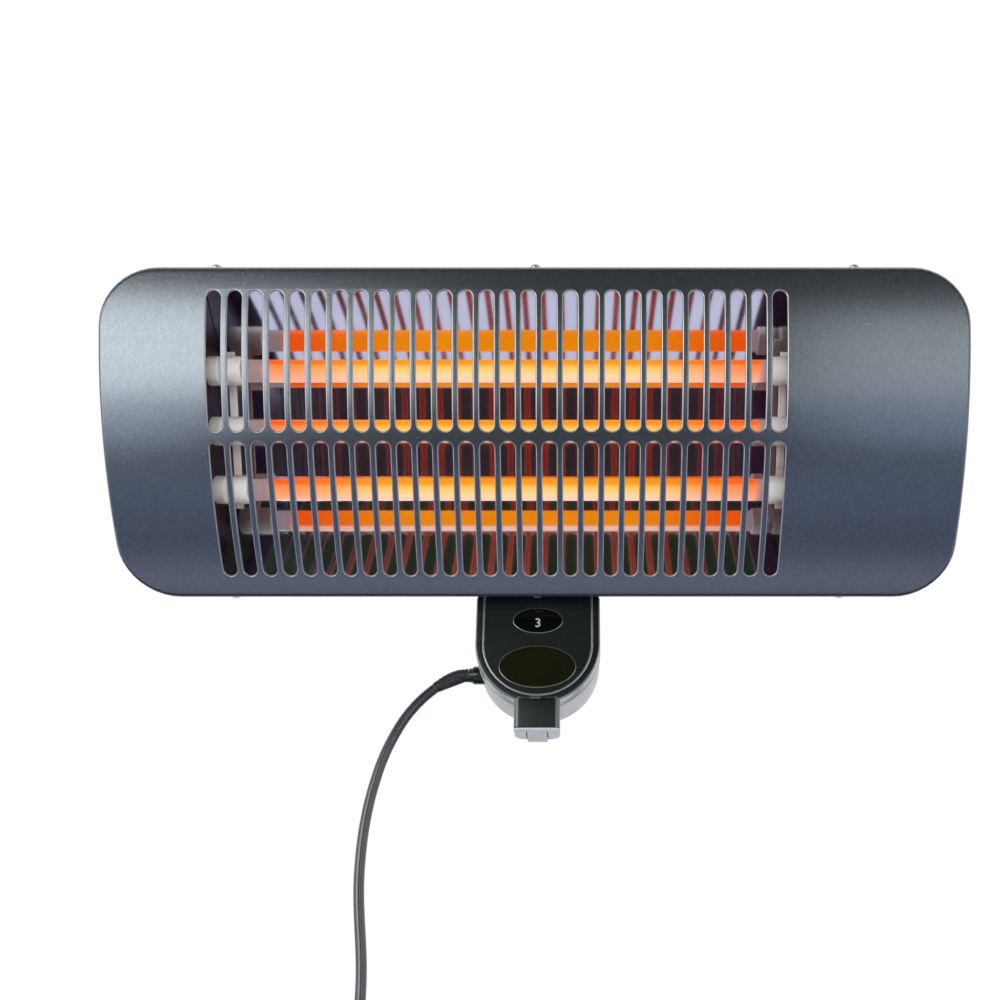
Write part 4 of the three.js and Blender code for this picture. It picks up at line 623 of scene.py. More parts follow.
def fill_with_holes(bm):
    """Drops the faces of nested outlines, and fills between them, so that the inner ones are holes."""
    bmesh.ops.delete(bm, geom=bm.faces[:], context="FACES_ONLY")
    bmesh.ops.triangle_fill(bm, edges=bm.edges[:], use_beauty=True, use_dissolve=False, normal=(0, -1, 0))
    if not bm.faces:
        raise RuntimeError("the outline couldn't be filled")


def outward(x, z, half_width, half_height, corner):
    """From a point of a rounded rectangle: its corner's sign in X and Z, and the way out of the corner."""
    sign_x, sign_z = math.copysign(1, x), math.copysign(1, z)
    core_x, core_z = half_width - corner, half_height - corner
    out = Vector((x - max(-core_x, min(core_x, x)), z - max(-core_z, min(core_z, z))))
    return sign_x, sign_z, out.normalized()


def fillet_point(corner, into, away, reach, share):
    """A point of the round that joins the direction into a corner to the one away from it."""
    turn = into.angle(away)
    radius = reach / math.tan(turn / 2)
    side = (away - into * into.dot(away)).normalized()
    angle = turn * share
    start = corner - into * reach
    return start + into * radius * math.sin(angle) + side * radius * (1 - math.cos(angle))


# ---- The head --------------------------------------------------------------------------------------


def bowed(x, depth, z):
    """A point of the panel at a height, this far under its outer surface."""
    lean = math.asin(z / BOW_RADIUS)
    reach = BOW_RADIUS - depth
    return Vector((x, BOW_CENTRE - reach * math.cos(lean), reach * math.sin(lean)))


def slot_places(s):
    """Each slot's middle and its lower and upper end."""
    low = BOW_RADIUS * math.sin(s.crossbar_arc / 2 / BOW_RADIUS)
    high = BOW_RADIUS * math.sin((s.crossbar_arc / 2 + s.slot_arc) / BOW_RADIUS)
    first = s.grille_x - (s.slot_columns - 1) / 2 * s.slot_pitch
    columns = [first + i * s.slot_pitch for i in range(s.slot_columns)]
    return [(x, *row) for x in columns for row in ((low, high), (-high, -low))]


def build_front_panel(s):
    """The bowed sheet with its rolled slot edges, rounded border and flange, as one closed shell."""
    bm = bmesh.new()
    fillet, rim = s.edge_fillet, s.slot_rim
    rounded_face(
        bm, PANEL_HALF_WIDTH - fillet, fillet - PANEL_HALF_HEIGHT, PANEL_HALF_HEIGHT - fillet,
        s.corner - fillet, s.corner - fillet, 10,
    )
    slots = slot_places(s)
    half = s.slot_width / 2 + rim
    ends = []
    for x, bottom, top in slots:
        ends += front_rectangle(bm, half, bottom - rim, top + rim, x)
    round_corners(bm, ends, half * 0.985, 7)
    fill_with_holes(bm)
    cuts = 48
    for k in range(-cuts, cuts + 1):
        bmesh.ops.bisect_plane(
            bm, geom=bm.verts[:] + bm.edges[:] + bm.faces[:], dist=0.0005 * MM,
            plane_co=(0, 0, k * 2 * MM), plane_no=(0, 0, 1),
        )
    flat = bm.verts.layers.float_vector.new("flat")
    # one layer marks the rolled slot edges for a painted highlight, the other marks the inner face for the tubes'
    # painted glow
    rolled_edge = bm.verts.layers.float.new("rolled_edge")
    inside_face = bm.verts.layers.float.new("inside_face")
    for v in bm.verts:
        v[flat] = v.co

    copy = bmesh.ops.duplicate(bm, geom=bm.verts[:] + bm.edges[:] + bm.faces[:])
    inside = [f for f in copy["geom"] if isinstance(f, bmesh.types.BMFace)]
    bmesh.ops.reverse_faces(bm, faces=inside)
    inner = {v for f in inside for v in f.verts}
    border = [e for e in open_edges(bm) if e.verts[0] not in inner]
    reach = abs(slots[0][0] - s.grille_x) + half + 1 * MM
    rows = max(top for _, _, top in slots) + rim + 1 * MM
    rims = [
        e for e in border if abs(e.verts[0].co.x - s.grille_x) < reach and abs(e.verts[0].co.z) < rows
    ]
    edge = [e for e in border if e not in set(rims)]
    for v in bm.verts:
        v[inside_face] = float(v in inner)
        v.co = bowed(v[flat].x, PANEL_SHEET * v[inside_face], v[flat].z)

    core_low = slots[0][1] - rim + half
    core_high = slots[0][2] + rim - half

    def rolled(shrink, depth):
        def place(v):
            x, z = v[flat].x, v[flat].z
            column = round((x - slots[0][0]) / s.slot_pitch) * s.slot_pitch + slots[0][0]
            core = math.copysign(max(core_low, min(core_high, abs(z))), z)
            out = Vector((x - column, z - core)).normalized()
            # the rim's outer part gets the painted highlight, the part turned inwards gets the inner face's painted
            # glow
            v[rolled_edge] = float(depth < PANEL_SHEET)
            v[inside_face] = 1 - v[rolled_edge]
            return bowed(x - out.x * shrink, depth, z - out.y * shrink)
        return place

    for a in map(math.radians, (25, 50, 72, 90)):
        rims = grow_loop(bm, rims, rolled(rim * math.sin(a), rim * (1 - math.cos(a))))
    rims = grow_loop(bm, rims, rolled(rim, PANEL_SHEET * 0.85))
    grow_loop(bm, rims, rolled(0.0, PANEL_SHEET))

    back = Vector((0, 1, 0))

    def bordered(share, inset=0.0, y=None):
        def place(v):
            _, _, out = outward(v[flat].x, v[flat].z, PANEL_HALF_WIDTH - fillet, PANEL_HALF_HEIGHT - fillet,
                                s.corner - fillet)
            x = v[flat].x + out.x * (fillet - inset)
            z = v[flat].z + out.y * (fillet - inset)
            corner = bowed(x, 0.0, z)
            if y is not None:
                return Vector((x, y if y > 0 else corner.y - y, z))
            into = Vector((out.x, out.y * math.tan(math.asin(z / BOW_RADIUS)), out.y))
            reach = fillet * into.length
            return fillet_point(corner, into.normalized(), back, reach, share)
        return place

    for k in range(1, 7):
        edge = grow_loop(bm, edge, bordered(k / 6))
    edge = grow_loop(bm, edge, bordered(1, y=FLANGE_DEPTH - SEAM))
    edge = grow_loop(bm, edge, bordered(1, inset=SEAM, y=FLANGE_DEPTH))
    edge = grow_loop(bm, edge, bordered(1, inset=PANEL_SHEET, y=FLANGE_DEPTH))
    edge = grow_loop(bm, edge, bordered(1, inset=PANEL_SHEET, y=-3 * MM))
    grow_loop(bm, edge, lambda v: bowed(v[flat].x, PANEL_SHEET, v[flat].z))
    merge(bm)
    skin = dress(
        "panel_skin", bm, "panel_paint", "head", ["front_panel"], HEAD, sharp=50,
    )
    skin.modifiers.new("Normals", "WEIGHTED_NORMAL").keep_sharp = True
    return skin


def section_point(v, flat, start, section, y):
    """Where a point of the start outline lies on another section of the housing."""
    sign_x, sign_z, out = outward(v[flat].x, v[flat].z, *start)
    width, height, corner = section
    return Vector((
        sign_x * (width - corner) + out.x * corner, y, sign_z * (height - corner) + out.y * corner,
    ))


def build_rear_housing():
    """The drawn housing: a lip inside the flange, tapered sides, a rounded back with vents."""
    bm = bmesh.new()
    fillet, wall = 4 * MM, 1.2 * MM
    width, height, corner = HOUSING_BACK
    start = (width - fillet, height - fillet, corner - fillet)
    rounded_face(bm, start[0], -start[1], start[1], start[2], start[2], 10, y=HOUSING_DEPTH)
    vents = []
    for i in range(VENTS):
        vents += front_rectangle(bm, 2 * MM, *VENT_HEIGHTS, (i - (VENTS - 1) / 2) * VENT_PITCH, HOUSING_DEPTH)
    round_corners(bm, vents, 1.96 * MM, 5)
    bmesh.ops.create_circle(
        bm, cap_ends=True, radius=2.8 * MM, segments=24,
        matrix=Matrix.Translation((41 * MM, HOUSING_DEPTH, -20 * MM)) @ Matrix.Rotation(math.pi / 2, 4, "X"),
    )
    fill_with_holes(bm)
    flat = bm.verts.layers.float_vector.new("flat")
    for v in bm.verts:
        v[flat] = v.co
    copy = bmesh.ops.duplicate(bm, geom=bm.verts[:] + bm.edges[:] + bm.faces[:])
    inner = {v for v in copy["geom"] if isinstance(v, bmesh.types.BMVert)}
    for v in inner:
        v.co.y -= wall
    border = [e for e in open_edges(bm) if e.verts[0] not in inner]
    outer = [e for e in border if abs(e.verts[0].co.x) > 110 * MM or abs(e.verts[0].co.z) > 60 * MM]
    holes = [e for e in border if e not in set(outer)]
    grow_loop(bm, holes, lambda v: v.co - Vector((0, wall, 0)))

    flange_end = FLANGE_DEPTH + SEAM
    side = Vector((HOUSING_LIP[0] - width, flange_end - HOUSING_DEPTH))

    def rounded_back(share):
        def place(v):
            _, _, out = outward(v[flat].x, v[flat].z, *start)
            corner_here = section_point(v, flat, start, HOUSING_BACK, HOUSING_DEPTH)
            into = Vector((out.x, 0, out.y))
            away = Vector((out.x * side.x, side.y, out.y * side.x)).normalized()
            return fillet_point(corner_here, into, away, fillet, share)
        return place

    for k in range(1, 7):
        outer = grow_loop(bm, outer, rounded_back(k / 6))

    def at(section, y, inset=0.0):
        sized = tuple(part - inset for part in section)
        return lambda v: section_point(v, flat, start, sized, y)

    outer = grow_loop(bm, outer, at(HOUSING_LIP, flange_end))
    outer = grow_loop(bm, outer, at(HOUSING_LIP, 2 * MM))
    outer = grow_loop(bm, outer, at(HOUSING_LIP, 2 * MM, wall))
    outer = grow_loop(bm, outer, at(HOUSING_LIP, flange_end, wall))
    outer = grow_loop(bm, outer, at(HOUSING_BACK, HOUSING_DEPTH - fillet, wall))
    grow_loop(bm, outer, lambda v: Vector((v[flat].x, HOUSING_DEPTH - wall, v[flat].z)))
    merge(bm)
    return dress(
        "housing_shell", bm, "powder_coat", "head", ["rear_housing"], HEAD, sharp=40,
    )


def bent_line(corners, radius, steps=5, lead=0.4 * MM):
    """A line through corners, each one eased to a radius, with a support point on both sides of it."""
    line = [corners[0]]
    for before, here, after in zip(corners, corners[1:], corners[2:]):
        into, away = (here - before).normalized(), (after - here).normalized()
        reach = radius * math.tan(into.angle(away) / 2)
        line.append(here - into * (reach + lead))
        line += [fillet_point(here, into, away, reach, k / steps) for k in range(steps + 1)]
        line.append(here + away * (reach + lead))
    return line + [corners[-1]]


def build_reflector():
    """The bent mirror sheet behind the tubes."""
    mouth = PANEL_HALF_HEIGHT - 9 * MM
    lip = bowed(0, PANEL_SHEET, mouth).y + 1.4 * MM
    upper, lower = TUBE_LIFT + REFLECTOR_FLAT, TUBE_LIFT - REFLECTOR_FLAT

    def flare(z):
        return REFLECTOR_BACK - (abs(z - TUBE_LIFT) - REFLECTOR_FLAT) * math.tan(REFLECTOR_FLARE)

    corners = [Vector((0, y, z)) for y, z in (
        (lip, mouth), (flare(mouth), mouth), (REFLECTOR_BACK, upper), (REFLECTOR_BACK, lower),
        (flare(-mouth), -mouth), (lip, -mouth),
    )]
    bm = bmesh.new()
    chain = [bm.verts.new(p + Vector((REFLECTOR_X - REFLECTOR_HALF, 0, 0))) for p in bent_line(corners, 3 * MM)]
    edges = [bm.edges.new(pair) for pair in zip(chain, chain[1:])]
    grow_loop(bm, edges, lambda v: v.co + Vector((2 * REFLECTOR_HALF, 0, 0)))
    bmesh.ops.recalc_face_normals(bm, faces=bm.faces)
    flat_back = max(bm.faces, key=lambda f: f.calc_center_median().y)
    if flat_back.normal.y < 0:
        bmesh.ops.reverse_faces(bm, faces=bm.faces[:])
    sheet = dress(
        "reflector_mirror", bm, "polished_reflector", "head", ["reflector"], HEAD, sharp=60,
    )
    solid = sheet.modifiers.new("Sheet", "SOLIDIFY")
    solid.thickness, solid.offset = REFLECTOR_SHEET, 1.0
    return sheet


def tube_heights():
    """The tubes' heights in the head, from the top one down."""
    return [TUBE_LIFT + TUBE_SPACING * k for k in (1, 0, -1)]


def build_tubes(s):
    """Three quartz tubes, their ceramic caps and the wire coils inside."""
    outer, inner = s.diameter / 2, s.diameter / 2 - 1.2 * MM
    half = s.length / 2
    lead = 1 * MM
    cap = s.cap_diameter / 2
    socket = outer + 0.3 * MM
    seat = s.cap_length - 14 * MM
    for level, z in zip(LEVELS, tube_heights()):
        glass = turned([(-half, inner), (-half, outer), (half, outer), (half, inner)], 56, closed=True)
        ease(glass, 0.4 * MM)
        place = HEAD @ Matrix.Translation((REFLECTOR_X, TUBE_Y, z))
        dress(f"glowing_tube_{level}", glass, "hot_quartz", "head",
              [f"quartz_tube_{level}"], place)
        for side, way in (("left", 1), ("right", -1)):
            shape = turned([
                (-8 * MM, lead), (-8 * MM, 5 * MM), (0, 5 * MM), (0, cap), (7 * MM, cap),
                (7.8 * MM, cap - 0.9 * MM), (9.8 * MM, cap - 0.9 * MM), (10.6 * MM, cap), (s.cap_length, cap),
                (s.cap_length, socket), (seat, socket), (seat, lead),
            ], 48, closed=True)
            ease(shape, 0.5 * MM)
            end = HEAD @ Matrix.Translation((REFLECTOR_X - way * REFLECTOR_HALF, TUBE_Y, z))
            turn = Matrix.Identity(4) if way > 0 else Matrix.Rotation(math.pi, 4, "Z")
            dress(f"ceramic_cap_{side}_{level}", shape, "fired_ceramic", "head",
                  [f"tube_cap_{side}_{level}"], end @ turn)
        wound = half - 28 * MM
        end = half + 20 * MM
        count = s.coil_curls * 12
        points = [(-end, 0, 0), (-wound - 4 * MM, 0, 0)]
        for i in range(count + 1):
            share = i / count
            turn = math.tau * s.coil_curls * share
            radius = 4 * MM * min(1, share * s.coil_curls, (1 - share) * s.coil_curls)
            points.append((wound * (2 * share - 1), radius * math.cos(turn), radius * math.sin(turn)))
        points += [(wound + 4 * MM, 0, 0), (end, 0, 0)]
        wire_through(f"wire_coil_{level}", [place @ Vector(p) for p in points], 1.2 * MM, "hot_wire",
                     "head", [f"heating_coil_{level}"], straight=True)


def wire_through(name, points, diameter, finish, body, stands_for=(), straight=False):
    """A round wire, lead or cord through a line of points."""
    curve = bpy.data.curves.new(name, "CURVE")
    curve.dimensions = "3D"
    curve.bevel_depth = diameter / 2
    curve.bevel_resolution = 1 if straight else 4
    curve.use_fill_caps = True
    spline = curve.splines.new("POLY" if straight else "BEZIER")
    knots = spline.points if straight else spline.bezier_points
    knots.add(len(points) - 1)
    for knot, point in zip(knots, points):
        if straight:
            knot.co = (*point, 1)
        else:
            knot.co = point
            knot.handle_left_type = knot.handle_right_type = "AUTO"
    spline.resolution_u = 4
    curve.materials.append(material(finish))
    obj = bpy.data.objects.new(name, curve)
    bpy.context.scene.collection.objects.link(obj)
    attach(obj, body)
    if stands_for:
        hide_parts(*stands_for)
    return obj


def screw_shape(head, rise, shank, length):
    """A pan-head screw about +X, its head forward, with a cross recess."""
    bm = turned([
        (-length, 0), (-length, shank / 2), (0, shank / 2), (0, head / 2), (rise * 0.4, head / 2),
        (rise * 0.75, head * 0.42), (rise * 0.95, head * 0.3), (rise, head * 0.24),
    ], 32)
    ease(bm, 0.12 * MM, 2, 60)
    ring = open_edges(bm)
    arm, slim = head * 0.2, head * 0.055
    cross = [(arm, slim), (slim, slim), (slim, arm)]
    stations = []
    for k in range(4):
        turn = Matrix.Rotation(k * math.pi / 2, 2)
        stations += [turn @ Vector(p) for p in cross]

    def nearest(v):
        angle = math.atan2(v.co.z, v.co.y) % math.tau
        index = int(angle / math.tau * 12 + 0.5) % 12
        return stations[index]

    ring = grow_loop(bm, ring, lambda v: Vector((rise, *nearest(v))))
    ring = grow_loop(bm, ring, lambda v: v.co - Vector((rise * 0.5, 0, 0)))
    bmesh.ops.edgeloop_fill(bm, edges=ring)
    merge(bm)
    return bm


def build_head_screws():
    """The screws round the panel's flange, and the two that hold the tilt bracket."""
    for side, x in PANEL_SCREWS:
        for end, way in (("top", 1), ("bottom", -1)):
            seat = Vector((x, 8.4 * MM, way * (PANEL_HALF_HEIGHT + 0.2 * MM)))
            rise = 2.4 * MM if way > 0 else 1.2 * MM
            dress(f"panel_screw_{end}_{side}", screw_shape(6 * MM, rise, 3 * MM, 7 * MM), "zinc_plate",
                  "head", [f"{end}_screw_{side}"], HEAD @ aim(seat, (0, 0, way)))
    for side, x in (("left", -28), ("right", 28)):
        seat = Vector((x * MM, HOUSING_DEPTH + 3.1 * MM, -38 * MM))
        dress(f"bracket_screw_{side}", screw_shape(8 * MM, 2.6 * MM, 4 * MM, 8 * MM), "zinc_plate",
              "head", [f"tilt_bracket_screw_{side}"], HEAD @ aim(seat, (0, 1, 0)))


def build_connection_space():
    """The sleeved leads from the coils to the terminal block, and the thermal cutout."""
    low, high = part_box("terminal_block")
    middle = (low + high) / 2
    inward = HEAD.inverted() @ middle
    start_x = REFLECTOR_X + 198.4 * MM + SEAM
    end_x = low.x - SEAM
    for k, (level, z) in enumerate(zip(LEVELS, tube_heights())):
        target = TUBE_LIFT + (1 - k) * 14 * MM
        points = [
            (start_x, TUBE_Y, z), (start_x + SLEEVE_DIAMETER, TUBE_Y, z),
            ((start_x + end_x) / 2, (TUBE_Y + inward.y) / 2, (z + target) / 2),
            (end_x - SLEEVE_DIAMETER, inward.y, target), (end_x, inward.y, target),
        ]
        wire_through(f"sleeved_lead_{level}", [HEAD @ Vector(p) for p in points], SLEEVE_DIAMETER, "woven_sleeve",
                     "head", [f"supply_lead_{level}"])
    radius = CUTOUT_RADIUS
    shape = turned([
        (0, 0), (0, radius), (4.5 * MM, radius), (5 * MM, radius * 0.9), (5.4 * MM, radius * 0.6),
        (9 * MM, radius * 0.55), (9 * MM, 0),
    ], 40)
    ease(shape, 0.3 * MM)
    seat = (REFLECTOR_X + 187 * MM + 1.5 * MM, TUBE_Y + radius, -64 * MM)
    dress("cutout_disc", shape, "gloss_black", "head", ["thermal_cutout"],
          HEAD @ Matrix.Translation(seat))


# ---- The tilt joint ----------------------------------------------------------------------------------


def knob_shape():
    """A lobed hand knob about +X with a crowned outer face, a collar and a blind bore."""
    bm = bmesh.new()
    made = bmesh.ops.create_circle(bm, cap_ends=False, radius=KNOB_RADIUS, segments=96,
                                   matrix=Matrix.Rotation(math.pi / 2, 4, "Y"))["verts"]

    def lobed(v, scale, along):
        angle = math.atan2(v.co.z, v.co.y)
        radius = (KNOB_RADIUS - KNOB_LOBE_DEPTH * (1 - math.cos(KNOB_LOBES * angle))) * scale
        return Vector((along, radius * math.cos(angle), radius * math.sin(angle)))

    for v in made:
        v.co = lobed(v, 0.955, 0)
    loop = bm.edges[:]
    for along, scale in ((0.5, 1.0), (10, 1.0), (12.2, 0.985), (13.9, 0.93), (15.1, 0.83), (15.8, 0.66),
                         (16.0, 0.42)):
        loop = grow_loop(bm, loop, lambda v, a=along, k=scale: lobed(v, k, a * MM))
    loop = grow_loop(bm, loop, lambda v: Vector((15.6 * MM, v.co.y * 0.93, v.co.z * 0.93)))
    bmesh.ops.edgeloop_fill(bm, edges=loop)

    def bored(v, along):
        angle = math.atan2(v.co.z, v.co.y)
        return Vector((along, bore_radius * math.cos(angle), bore_radius * math.sin(angle)))

    bore_radius, bore_depth = KNOB_BORE
    bore = grow_loop(bm, open_edges(bm), lambda v: bored(v, 0))
    bore = grow_loop(bm, bore, lambda v: bored(v, bore_depth))
    bmesh.ops.edgeloop_fill(bm, edges=bore)
    merge(bm)
    return bm


def build_tilt_joint():
    """The two pivot bolts, and the hand knob on each."""
    for side, way in (("left", -1), ("right", 1)):
        turn = Matrix.Translation(HINGE) @ (
            Matrix.Identity(4) if way > 0 else Matrix.Rotation(math.pi, 4, "Z"))
        bolt = turned([
            (47.7 * MM, 0), (47.7 * MM, 4.6 * MM), (48.3 * MM, 5.5 * MM), (51.6 * MM, 5.5 * MM),
            (51.7 * MM, 5.4 * MM), (51.7 * MM, 3 * MM), (70.0 * MM, 3 * MM), (70.6 * MM, 2.4 * MM), (70.6 * MM, 0),
        ], 40)
        dress(f"pivot_{side}", bolt, "zinc_plate", "base", [f"pivot_bolt_{side}"], turn)
        dress(f"hand_knob_{side}", knob_shape(), "plug_rubber", f"{side}_knob",
              [f"clamp_knob_{side}"], turn @ Matrix.Translation((57.9 * MM, 0, 0)))


# ---- The control box -----------------------------------------------------------------------------------


BOX_TOP_RADIUS = 3 * MM
BOX_FLAT = 0.5 * MM
COVER_RISE = 2 * MM


def box_section(s, inset, rise):
    """Half width, top and top radius of the box's outline at an inset; a risen top keeps nearly its height."""
    top = s.top + rise - inset * (0.15 if rise else 1)
    return s.half_width - inset, top, max(BOX_TOP_RADIUS - inset, 0.6 * MM)


def box_outline(s, inset, y, rise=0.0):
    """A face with the box's outline, and a way to move its corners to the outline at another inset."""
    bm = bmesh.new()
    half, top, radius = box_section(s, inset, rise)
    rounded_face(bm, half, s.bottom + inset, top, half - BOX_FLAT, radius, 28, y=y)
    flat = bm.verts.layers.float_vector.new("flat")
    edge = bm.verts.layers.float.new("rolled_edge")
    for v in bm.verts:
        v[flat] = v.co
    centre = s.bottom + s.half_width - BOX_FLAT

    # light is how much painted highlight the placed corners get
    def at(other, depth, light=0.0):
        new_half, new_top, new_radius = box_section(s, other, rise)

        def place(v):
            x, z = v[flat].x, v[flat].z
            v[edge] = light
            if z < centre + 0.01 * MM:
                side = math.copysign(BOX_FLAT, x)
                out = Vector((x - side, z - centre)).normalized() * (new_half - BOX_FLAT)
                return Vector((side + out.x, depth, centre + out.y))
            core_x = math.copysign(half - radius, x)
            out = Vector((x - core_x, z - top + radius)).normalized() * new_radius
            return Vector((math.copysign(new_half - new_radius, x) + out.x, depth, new_top - new_radius + out.y))
        return place

    return bm, at


def build_box(s):
    """The pale rear shell, and the gloss cover that stands a little inside it with its raised rim."""
    step, ease_in = 0.4 * MM, 1.5 * MM
    outer, inner = s.rim_inset, s.rim_inset + s.rim_width
    bm, at = box_outline(s, inner, BOX_FRONT, COVER_RISE)
    loop = open_edges(bm)
    # the raised rim, its crown marked for a painted highlight
    for k in range(1, 9):
        a = math.pi * k / 8
        loop = grow_loop(bm, loop, at(
            inner - s.rim_width * (1 - math.cos(a)) / 2, BOX_FRONT - 0.8 * MM * math.sin(a), float(1 < k < 7)))
    loop = grow_loop(bm, loop, at(outer - 0.3 * MM, BOX_FRONT))
    # the cover's outer edge, its bevel marked for a painted highlight
    for k in range(0, 6):
        a = math.pi / 2 * k / 5
        loop = grow_loop(bm, loop, at(
            step + ease_in * (1 - math.sin(a)), BOX_FRONT + ease_in * (1 - math.cos(a)), 0.9 * (k > 1)))
    loop = grow_loop(bm, loop, at(step, BOX_JOIN - 0.3 * MM))
    bmesh.ops.edgeloop_fill(bm, edges=loop)
    merge(bm)
    dress("box_cover", bm, "gloss_black", "base", ["control_box_cover"], sharp=50)

    round_back, round_front = 2 * MM, 0.5 * MM
    bm, at = box_outline(s, round_back, BOX_REAR)
    loop = open_edges(bm)
    for k in range(1, 6):
        a = math.pi / 2 * k / 5
        loop = grow_loop(bm, loop, at(
            round_back * (1 - math.sin(a)), BOX_REAR - round_back * (1 - math.cos(a))))
    for k in range(0, 4):
        a = math.pi / 2 * k / 3
        loop = grow_loop(bm, loop, at(
            round_front * (1 - math.cos(a)), BOX_JOIN + round_front * (1 - math.sin(a))))
    bmesh.ops.edgeloop_fill(bm, edges=loop)
    merge(bm)
    dress("box_shell", bm, "pale_plastic", "base", ["control_box_shell"], sharp=50)


def oval_window(size, z):
    """A crowned oval pane that stands a little proud of the cover."""
    bm = bmesh.new()
    made = bmesh.ops.create_circle(
        bm, cap_ends=True, radius=1.0, segments=72, matrix=Matrix.Rotation(math.pi / 2, 4, "X"),
    )["verts"]
    lip = 0.5 * MM
    for v in made:
        v.co = (v.co.x * (size[0] / 2 - lip), BOX_FRONT - 0.4 * MM, z + v.co.z * (size[1] / 2 - lip))
    face = bm.faces[:][0]
    for thickness, depth in ((1.2, 0.06), (2, 0.05), (2, 0.02)):
        bmesh.ops.inset_region(
            bm, faces=[face], thickness=thickness * MM, depth=depth * MM, use_boundary=True, use_even_offset=True,
        )
    loop = open_edges(bm)
    # marks the lip for a painted highlight in the window's finish
    edge = bm.verts.layers.float.new("rolled_edge")

    def spread(v, grow, sink):
        out = Vector((v.co.x / size[0] ** 2, 0, (v.co.z - z) / size[1] ** 2)).normalized()
        v[edge] = 1.0
        return v.co + out * grow + Vector((0, sink, 0))

    for k in range(1, 5):
        a, b = math.pi / 2 * (k - 1) / 4, math.pi / 2 * k / 4
        loop = grow_loop(bm, loop, lambda v, a=a, b=b: spread(
            v, lip * (math.sin(b) - math.sin(a)), lip * 0.7 * (math.cos(a) - math.cos(b))))
    loop = grow_loop(bm, loop, lambda v: Vector((v.co.x, BOX_FRONT + 0.6 * MM, v.co.z)))
    bmesh.ops.edgeloop_fill(bm, edges=loop)
    merge(bm)
    return bm


def build_windows(s):
    """The two panes, and the numeral on the upper one."""
    dress("display_pane", oval_window(s.display, DISPLAY_Z), "dark_window", "base",
          ["display_window"], sharp=60)
    dress("receiver_pane", oval_window(s.receiver, RECEIVER_Z), "smoked_window", "base",
          ["receiver_window"], sharp=60)
    words = bpy.data.curves.new("numeral", "FONT")
    words.body = "3"
    words.size = NUMERAL_HEIGHT
    words.offset = 0.04 * MM
    words.extrude = 0.12 * MM
    words.resolution_u = 8
    holder = bpy.data.objects.new("numeral_text", words)
    bpy.context.scene.collection.objects.link(holder)
    bpy.context.view_layer.update()
    mesh = bpy.data.meshes.new_from_object(holder.evaluated_get(bpy.context.evaluated_depsgraph_get()))
    bpy.data.objects.remove(holder)
    bm = bmesh.new()
    bm.from_mesh(mesh)
    bpy.data.meshes.remove(mesh)
    bmesh.ops.remove_doubles(bm, verts=bm.verts, dist=0.02 * MM)
    bmesh.ops.dissolve_degenerate(bm, edges=bm.edges, dist=0.02 * MM)
    bmesh.ops.holes_fill(bm, edges=open_edges(bm))
    bmesh.ops.recalc_face_normals(bm, faces=bm.faces)
    xs, ys = [v.co.x for v in bm.verts], [v.co.y for v in bm.verts]
    bmesh.ops.translate(bm, vec=(-(min(xs) + max(xs)) / 2, -(min(ys) + max(ys)) / 2, 0), verts=bm.verts)
    place = Matrix.Translation((0, BOX_FRONT - 0.62 * MM, NUMERAL_Z)) @ Matrix.Rotation(math.pi / 2, 4, "X")
    dress("numeral_three", bm, "display_light", "base", ["display_digit"], place)


SWITCH_HALF = 14.5 * MM
SWITCH_CORNERS = (9 * MM, 3 * MM)


def switch_outline(inset, height):
    """The switch block's outline in X and Z (Z is the distance to the front), as box_outline gives it."""
    bm = bmesh.new()
    rear, front = -SWITCH_Y[1], -SWITCH_Y[0]
    at_rear, at_front = (radius - inset for radius in SWITCH_CORNERS)
    rounded_face(bm, SWITCH_HALF - inset, rear + inset, front - inset, at_rear, at_front, 8, y=height)
    flat = bm.verts.layers.float_vector.new("flat")
    for v in bm.verts:
        v[flat] = v.co

    def at(other, depth, flare=0.0):
        def place(v):
            x, z = v[flat].x, v[flat].z
            near = z > (rear + front) / 2
            old = at_front if near else at_rear
            new = SWITCH_CORNERS[near] - other
            edge = front if near else rear
            way = 1 if near else -1
            core = Vector((math.copysign(SWITCH_HALF - inset - old, x), edge - way * (inset + old)))
            out = (Vector((x, z)) - core).normalized() * new
            reach = math.copysign(SWITCH_HALF - other - new, x)
            return Vector((reach + out.x + math.copysign(flare, x), depth, edge - way * (other + new) + out.y))
        return place

    return bm, at


def pocketed(name, low, high, pocket, flare, finish, node):
    """A moulding over the switch outline, with the rocker's opening in its lower face."""
    lip = 0.6 * MM
    bm, at = switch_outline(lip, low)
    front_rectangle(bm, 7 * MM, 32.3 * MM, 51.7 * MM, 0, low)
    fill_with_holes(bm)
    border = open_edges(bm)
    hole = [e for e in border if all(abs(v.co.x) < 7.1 * MM and 32 * MM < v.co.z < 52 * MM for v in e.verts)]
    side = [e for e in border if e not in set(hole)]
    for k in range(1, 4):
        a = math.pi / 2 * k / 3
        side = grow_loop(bm, side, at(lip * (1 - math.sin(a)), low + lip * (1 - math.cos(a))))
    if flare:
        for k in range(6):
            a = math.pi / 2 * k / 5
            side = grow_loop(bm, side, at(
                0, high - flare * (1 - math.sin(a)), flare * (1 - math.cos(a))))
    else:
        side = grow_loop(bm, side, at(0, high))
    hole = grow_loop(bm, hole, lambda v: Vector((v.co.x, pocket, v.co.z)))
    if pocket < high:
        bmesh.ops.edgeloop_fill(bm, edges=hole)
        bmesh.ops.edgeloop_fill(bm, edges=side)
    else:
        bmesh.ops.bridge_loops(bm, edges=side + hole)
    # the block's rounded front corners are marked for a painted highlight
    edge = bm.verts.layers.float.new("rolled_edge")
    for v in bm.verts:
        reach = Vector((max(0.0, abs(v.co.x) - SWITCH_HALF + 3 * MM), max(0.0, v.co.z - 54 * MM)))
        v[edge] = 0.22 * float(min(reach) > 0.3 * MM)
    merge(bm)
    bmesh.ops.transform(bm, matrix=Matrix.Rotation(math.pi / 2, 4, "X"), verts=bm.verts)
    return dress(name, bm, finish, "base", [node], sharp=50)


